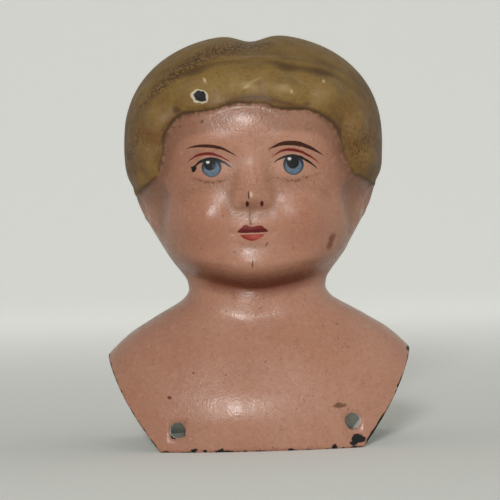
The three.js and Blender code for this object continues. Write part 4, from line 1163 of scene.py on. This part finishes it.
def paint_eyes(paint, near, x, z):
    for iris, radius, pupil, pupil_radius, glint, lash in eyes:
        under_lash = (paint.line_height(paint.share_along(x, lash), lash) - z).rise(-0.05, 0.1)
        core = paint.spot(near, (iris[0], iris[1] - 0.5), radius * 0.8, radius * 0.74, 0.4)
        mottled = paint.noise(1.6, 3.0, seed=12.0).rise(0.35, 0.65) * 0.4 + 0.6
        paint.coat(IRIS_RIM, paint.spot(near, iris, radius, radius) * under_lash)
        paint.coat(IRIS, core * under_lash * mottled)
        paint.coat(BLACK, paint.spot(near, pupil, pupil_radius, pupil_radius) * under_lash)
        paint.coat(GLINT, paint.spot(near, glint, GLINT_RADIUS, GLINT_RADIUS, 0.14))
    paint.coat(IRIS_SMUDGE, paint.spot(near, (-9.85, 71.9), 0.75, 0.5, 0.25, 30) * 0.7)


def paint_lids_and_brows(paint, near, x, z):
    for crease in (left_crease, right_crease):
        paint.coat(LID_BLUR, paint.stroke(x, z, crease, 0.6, 0.6, 0.4) * 0.6)
        paint.coat(LID, paint.stroke(x, z, crease, 0.42, 0.7))
    for lash, half_width in ((left_lash, 0.48), (right_lash, 0.42)):
        paint.coat(BLACK, paint.stroke(x, z, lash, half_width, 0.3))
    paint.spots(near, lash_ends, 0.14)
    for brow, half_width in ((left_brow, 0.46), (right_brow, 0.64)):
        paint.coat(BROW, paint.stroke(x, z, brow, half_width, 0.8))


def paint_nose_and_lips(paint, near, x, z):
    paint.spots(near, nostrils, 0.16)
    upper = paint.between(x, z, upper_lip_top, upper_lip_bottom)
    lower = paint.between(x, z, lower_lip_top, lower_lip_bottom)
    patchy = paint.noise(1.1, 3.0).rise(0.35, 0.7)
    paint.coat(UPPER_LIP, upper)
    paint.coat(LIP_LINE, upper * z.rise(*LIP_LINE_FADE) * (patchy * 0.5 + 0.5))
    paint.coat(LOWER_LIP, lower)
    # Painted highlight on the lower lip
    paint.coat(LIP_SHINE, lower * paint.spot(near, lip_shine, 1.6, 0.6, 0.5) * 0.6)


def lay_hair(paint, x, z):
    """Olive brown hair enamel, dusty towards the crown and rusty low down, darker in random patches, with
    painted shade towards both sides.
    """
    paint.coat(HAIR_DARK_AND_SHADE, paint.noise(0.11, 4.0, 0.6, seed=30.0).rise(0.42, 0.68) * 0.6)
    # Painted shade: the hair darker towards both sides
    paint.coat(HAIR_DARK_AND_SHADE, x.rise(*LEFT_HAIR_SHADE) * 0.15)
    paint.coat(HAIR_DARK_AND_SHADE, x.rise(*RIGHT_HAIR_SHADE) * 0.3)
    paint.coat(HAIR_DUSTY, z.rise(*DUSTY_CROWN) * 0.75)
    fine = paint.noise(1.2, 4.0, 0.65, seed=9.0)
    paint.coat(HAIR_DARK_AND_SHADE, fine.rise(0.52, 0.7) * 0.6)
    blotches = paint.noise(0.35, 4.0, 0.65, seed=35.0).rise(0.42, 0.6)
    paint.coat(HAIR_RUSTY, z.rise(*RUSTY_FOOT) * (blotches * 0.5 + 0.2))
    edges = x.size().rise(*HAIR_RIM_OUT) * paint.noise(0.5, 4.0, 0.65, seed=33.0).rise(0.42, 0.6)
    paint.coat(HAIR_RIM, edges * 0.55)
    paint.coat(HAIR_LIGHT, fine.rise(0.44, 0.27) * 0.45)


def mark_hair(paint, near, x, z):
    """Grime and worn stipple on the fringe, painted shade under its roll, and painted highlights on its
    crest, curl and locks.
    """
    # Painted shade under the roll of the fringe
    paint.coat(HAIR_SHADE, paint.stroke(x, z, fringe_shade, 1.7, 0.5, 1.8) * 0.8)
    band = paint.stroke(x, z, speckled_band, 3.4, 0.45, 2.4)
    dots = paint.noise(1.5, 3.0, 0.6, seed=15.0).rise(0.45, 0.53)
    paint.coat(BAND, band * 0.5)
    paint.coat(STIPPLE, band * dots * 0.85)
    # Painted highlight along the crest of the fringe
    paint.coat(CREST_HIGHLIGHT, paint.stroke(x, z, crest_highlight_line, 0.5, 0.4, 0.5) * 0.4)
    # Painted highlight on the curl of the fringe
    paint.coat(CURL_HIGHLIGHT, paint.stroke(x, z, curl, 0.5, 0.5, 0.5) * 0.4)
    stipple = paint.noise(1.5, 4.0, 0.65, seed=16.0).rise(0.52, 0.58)
    for at_x, at_z, half_x, half_z, tilt in dirty_sides:
        dirty = paint.spot(near, (at_x, at_z), half_x, half_z, 2.4, tilt) * stipple
        paint.coat(SIDE_STIPPLE, dirty * 0.85)
    # Painted highlights on the locks
    paint.spots(near, hair_glints, 0.2)
    paint.spots(near, hair_sheen, 0.8)


def worn_edge(paint, x, z):
    """Paint rubbed off along the cut edges, most of all low on the right."""
    edge = paint.mark("edge_reach")
    ragged = paint.noise(0.45, 4.0, 0.6, seed=40.0)
    worn = (edge - ragged.math("MULTIPLY_ADD", 2.4, -1.25)).rise(0.2, 0.05)
    low_right = x.rise(*WORN_CORNER_OUT) * z.rise(*WORN_CORNER_FOOT)
    return worn.most(low_right * (edge - ragged * 0.65).rise(0.3, 0.1))


def paint_chips(paint, bare):
    """Coats the primer round the chip in the fringe, and adds every chipped spot to the bare iron."""
    rough = paint.swayed(1.5, 0.7)
    at_x, at_z, half_x, half_z, tilt = CHIP_RIM
    paint.coat(PRIMER, paint.spot(rough, (at_x, at_z), half_x, half_z, 0.14, tilt))
    for (at_x, at_z, half_x, half_z, tilt), soft in [(CHIP, 0.14)] + [(spot, 0.12) for spot in bare_spots]:
        bare = bare.most(paint.spot(rough, (at_x, at_z), half_x, half_z, soft, tilt))
    return bare


def enamelled(name, side):
    """Painted tin: flesh and hair enamel, worn at its edges, with painted shade and grime in its hollows and
    a painted highlight on the raised hair.
    """
    paint = Painter(name, SKIN)
    x, y, z = numbers_of(paint.tree, paint.place)
    near = paint.swayed(0.16, 1.1)
    near_x, _, near_z = numbers_of(paint.tree, near)
    lay_skin(paint, x, z)
    if side == FRONT:
        shade_chin(paint, x, y, z)
        for features in (mark_skin, paint_eyes, paint_lids_and_brows, paint_nose_and_lips):
            features(paint, near, near_x, near_z)
    painted_skin = paint.colour
    paint.colour = srgb(*HAIR)
    lay_hair(paint, x, z)
    if side == FRONT:
        mark_hair(paint, near, near_x, near_z)
    reach = paint.mark("hair_reach") + (paint.noise(0.8, 3.0, seed=50.0) - 0.5) * 0.9
    hair = reach.rise(-0.24, 0.28)
    paint.colour = paint.over(painted_skin, paint.colour, hair)
    along_hairline = reach.size().rise(1.6, 0.0) * paint.noise(0.7, 3.0, seed=61.0).rise(0.42, 0.6)
    paint.coat(HAIRLINE, along_hairline * 0.6)
    cavity = paint.mark("cavity")
    # Painted shade and grime in the hollows, strongest in the hair
    paint.coat(HOLLOW_SHADE_AND_GRIME, cavity.rise(-0.02, -0.42) * (hair * 0.6 + 0.3))
    # Painted highlight on the raised parts of the hair
    paint.coat(RAISED_HAIR_HIGHLIGHT, cavity.rise(0.05, 0.7) * hair * 0.2)
    bare = worn_edge(paint, x, z)
    if side == FRONT:
        bare = paint_chips(paint, bare)
    paint.coat(BARE_IRON, bare)
    paint.shader.inputs["Specular IOR Level"].default_value = 0.3
    rough = paint.noise(0.35, 3.0, seed=70.0).rise(0.3, 0.7) * 0.12 + 0.25 + hair * 0.24
    for at_x, at_z, half_x, half_z, soft, added in dull_spots:
        rough = rough + paint.spot(paint.place, (at_x, at_z), half_x, half_z, soft) * added
    peel = paint.noise(1.7, 3.0, seed=80.0) * 1.3 + paint.noise(0.35, 2.0, seed=81.0) * 1.2
    grain = paint.noise(3.2, 3.0, 0.6, seed=82.0) * hair * 0.8
    return paint.finish(rough.most(bare * 0.62), peel + grain - bare * 2.5, 0.045)


def tinplate(name):
    """Bare tinplate, dulled, with brown stains, and with paint run into the seam."""
    paint = Painter(name, TIN)
    paint.coat(TIN_STAIN, paint.noise(0.12, 4.0, 0.6).rise(0.45, 0.75) * 0.35)
    paint.coat(TIN_DULL, paint.noise(0.8, 3.0, seed=5.0).rise(0.5, 0.7) * 0.3)
    _, y, z = numbers_of(paint.tree, paint.place)
    in_seam = (y - (SEAM_Y + SEAM_GAP / 2)).size().rise(*SEAM_BESIDE) * z.rise(*SEAM_PAINT_FOOT)
    paint.coat(SEAM_SKIN, in_seam)
    paint.coat(SEAM_HAIR, in_seam * z.rise(*SEAM_HAIR_FOOT))
    return paint.finish(paint.noise(0.5, 3.0, seed=8.0) * 0.3 + 0.32, paint.noise(0.6, 4.0, seed=2.0), 0.1)


def soldered(name):
    """Solder run by hand: dull grey, with ripples."""
    paint = Painter(name, SOLDER)
    paint.coat(SOLDER_DARK, paint.noise(0.4, 4.0).rise(0.4, 0.7))
    paint.shader.inputs["Metallic"].default_value = 0.9
    return paint.finish(paint.noise(0.7, 2.0, seed=5.0) * 0.3 + 0.25, paint.noise(0.55, 3.0, seed=6.0), 0.25)


# Node, side, holes, slot, columns, and rows from each level to the next
shells = [("front_shell", FRONT, front_holes, "flesh_enamel", 198, [24, 24, 108, 66]),
          ("back_shell", BACK, back_holes, "hair_enamel", 120, [18, 18, 66, 48])]


def dress_shells():
    tin = tinplate("tinplate")
    for node, side, holes, slot, columns, counts in shells:
        piece = stamped_shell(node + "_painted", side, holes, columns, counts)
        piece.data.materials.append(enamelled(slot, side))
        piece.data.materials.append(tin)
        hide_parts(node)
        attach(piece, "root")


def dress_solder():
    solder = soldered("solder")
    for name in ("solder_seam_left", "solder_seam_crown", "solder_seam_right"):
        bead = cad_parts[name].data
        bead.materials.clear()
        bead.materials.append(solder)


# Stage, light and camera, in metres unless a name says otherwise
SWEEP_HALF_WIDTH = 4.0
SWEEP_FRONT = -4.0
SWEEP_BEND_START = 1.3
SWEEP_BEND = 0.8
SWEEP_TOP = 3.5
BEND_STEPS = 16
GLOW_RANGE = (-0.1, 0.8)
GLOW_STRENGTH = 0.43
LAMP_PLACE = (-0.14, -1.15, 0.4)
LAMP_AIM = (0, 0, 0.055)
LAMP_WIDTH = 0.2
LAMP_POWER = 9.2
WORLD_STRENGTH = 0.17
WORLD_FROM_BEHIND = 0.5
BEHIND_RANGE = (-0.9, 0.3)
WORLD_FROM_RIGHT = 0.22
CAMERA_DISTANCE_MM = 400.0
CAMERA_X_MM = -1.65
CAMERA_HEIGHT_MM = 50.7
PICTURE_WIDTH_MM = 134.0
SENSOR_WIDTH_MM = 36.0
CAMERA_ROLL = math.radians(1.57)


def paper():
    """Matt pale paper that glows a little towards the back, for the camera and in reflections alone."""
    material = bpy.data.materials.new("paper")
    material.use_nodes = True
    tree = material.node_tree
    shader = tree.nodes["Principled BSDF"]
    shader.inputs["Base Color"].default_value = srgb(*PAPER)
    shader.inputs["Roughness"].default_value = 0.9
    shader.inputs["Emission Color"].default_value = srgb(*PAPER_GLOW)
    rays = tree.nodes.new("ShaderNodeLightPath")
    seen = Num(tree, rays.outputs["Is Camera Ray"])
    for ray in ("Is Glossy Ray", "Is Transmission Ray"):
        seen = seen.most(Num(tree, rays.outputs[ray]))
    place = tree.nodes.new("ShaderNodeTexCoord")
    _, y, _ = numbers_of(tree, place.outputs["Object"])
    glow = seen * y.rise(*GLOW_RANGE) * GLOW_STRENGTH
    tree.links.new(glow.socket, shader.inputs["Emission Strength"])
    return material


def make_stage():
    """Pale seamless sheet: a floor that curves up into a backdrop well behind the head."""
    line = [(SWEEP_FRONT, 0.0)]
    for step in range(BEND_STEPS + 1):
        turn = QUARTER * step / BEND_STEPS
        forward = SWEEP_BEND * math.sin(turn)
        line.append((SWEEP_BEND_START + forward, SWEEP_BEND - SWEEP_BEND * math.cos(turn)))
    line.append((SWEEP_BEND_START + SWEEP_BEND, SWEEP_TOP))
    data = bpy.data.meshes.new("sweep")
    places = [(across, y, z) for y, z in line for across in (-SWEEP_HALF_WIDTH, SWEEP_HALF_WIDTH)]
    faces = [(2 * i, 2 * i + 1, 2 * i + 3, 2 * i + 2) for i in range(len(line) - 1)]
    data.from_pydata(places, [], faces)
    data.polygons.foreach_set("use_smooth", np.ones(len(faces), bool))
    data.materials.append(paper())
    sweep = put("sweep", data)


def make_lamp():
    """One soft box in front, a little to the left and above."""
    data = bpy.data.lights.new("softbox", "AREA")
    data.size = LAMP_WIDTH
    data.energy = LAMP_POWER
    lamp = put("softbox", data)
    lamp.location = LAMP_PLACE
    lamp.rotation_euler = (Vector(LAMP_AIM) - lamp.location).to_track_quat("-Z", "Y").to_euler()


def make_world():
    """Soft light from all round, a little stronger from behind and from the right, as in a pale room."""
    world = bpy.data.worlds.new("soft_light")
    bpy.context.scene.world = world
    world.use_nodes = True
    tree = world.node_tree
    background = tree.nodes["Background"]
    background.inputs["Color"].default_value = srgb(*SOFT_LIGHT)
    direction = tree.nodes.new("ShaderNodeTexCoord")
    right, back, _ = numbers_of(tree, direction.outputs["Generated"])
    behind = back.rise(*BEHIND_RANGE)
    strength = behind * WORLD_FROM_BEHIND + right * WORLD_FROM_RIGHT + WORLD_STRENGTH
    tree.links.new(strength.socket, background.inputs["Strength"])


def make_camera():
    """The camera stands as far from the seam as the photograph was taken from, rolled as it was held."""
    data = bpy.data.cameras.new("camera")
    data.sensor_width = SENSOR_WIDTH_MM
    data.lens = data.sensor_width * CAMERA_DISTANCE_MM / PICTURE_WIDTH_MM
    camera = put("camera", data)
    camera.location = (CAMERA_X_MM * MM, (SEAM_Y - CAMERA_DISTANCE_MM) * MM, CAMERA_HEIGHT_MM * MM)
    camera.rotation_euler = (QUARTER, CAMERA_ROLL, 0)
    bpy.context.scene.camera = camera


dress_shells()
dress_solder()
make_stage()
make_lamp()
make_world()
make_camera()
bpy.context.scene.view_settings.view_transform = "Standard"
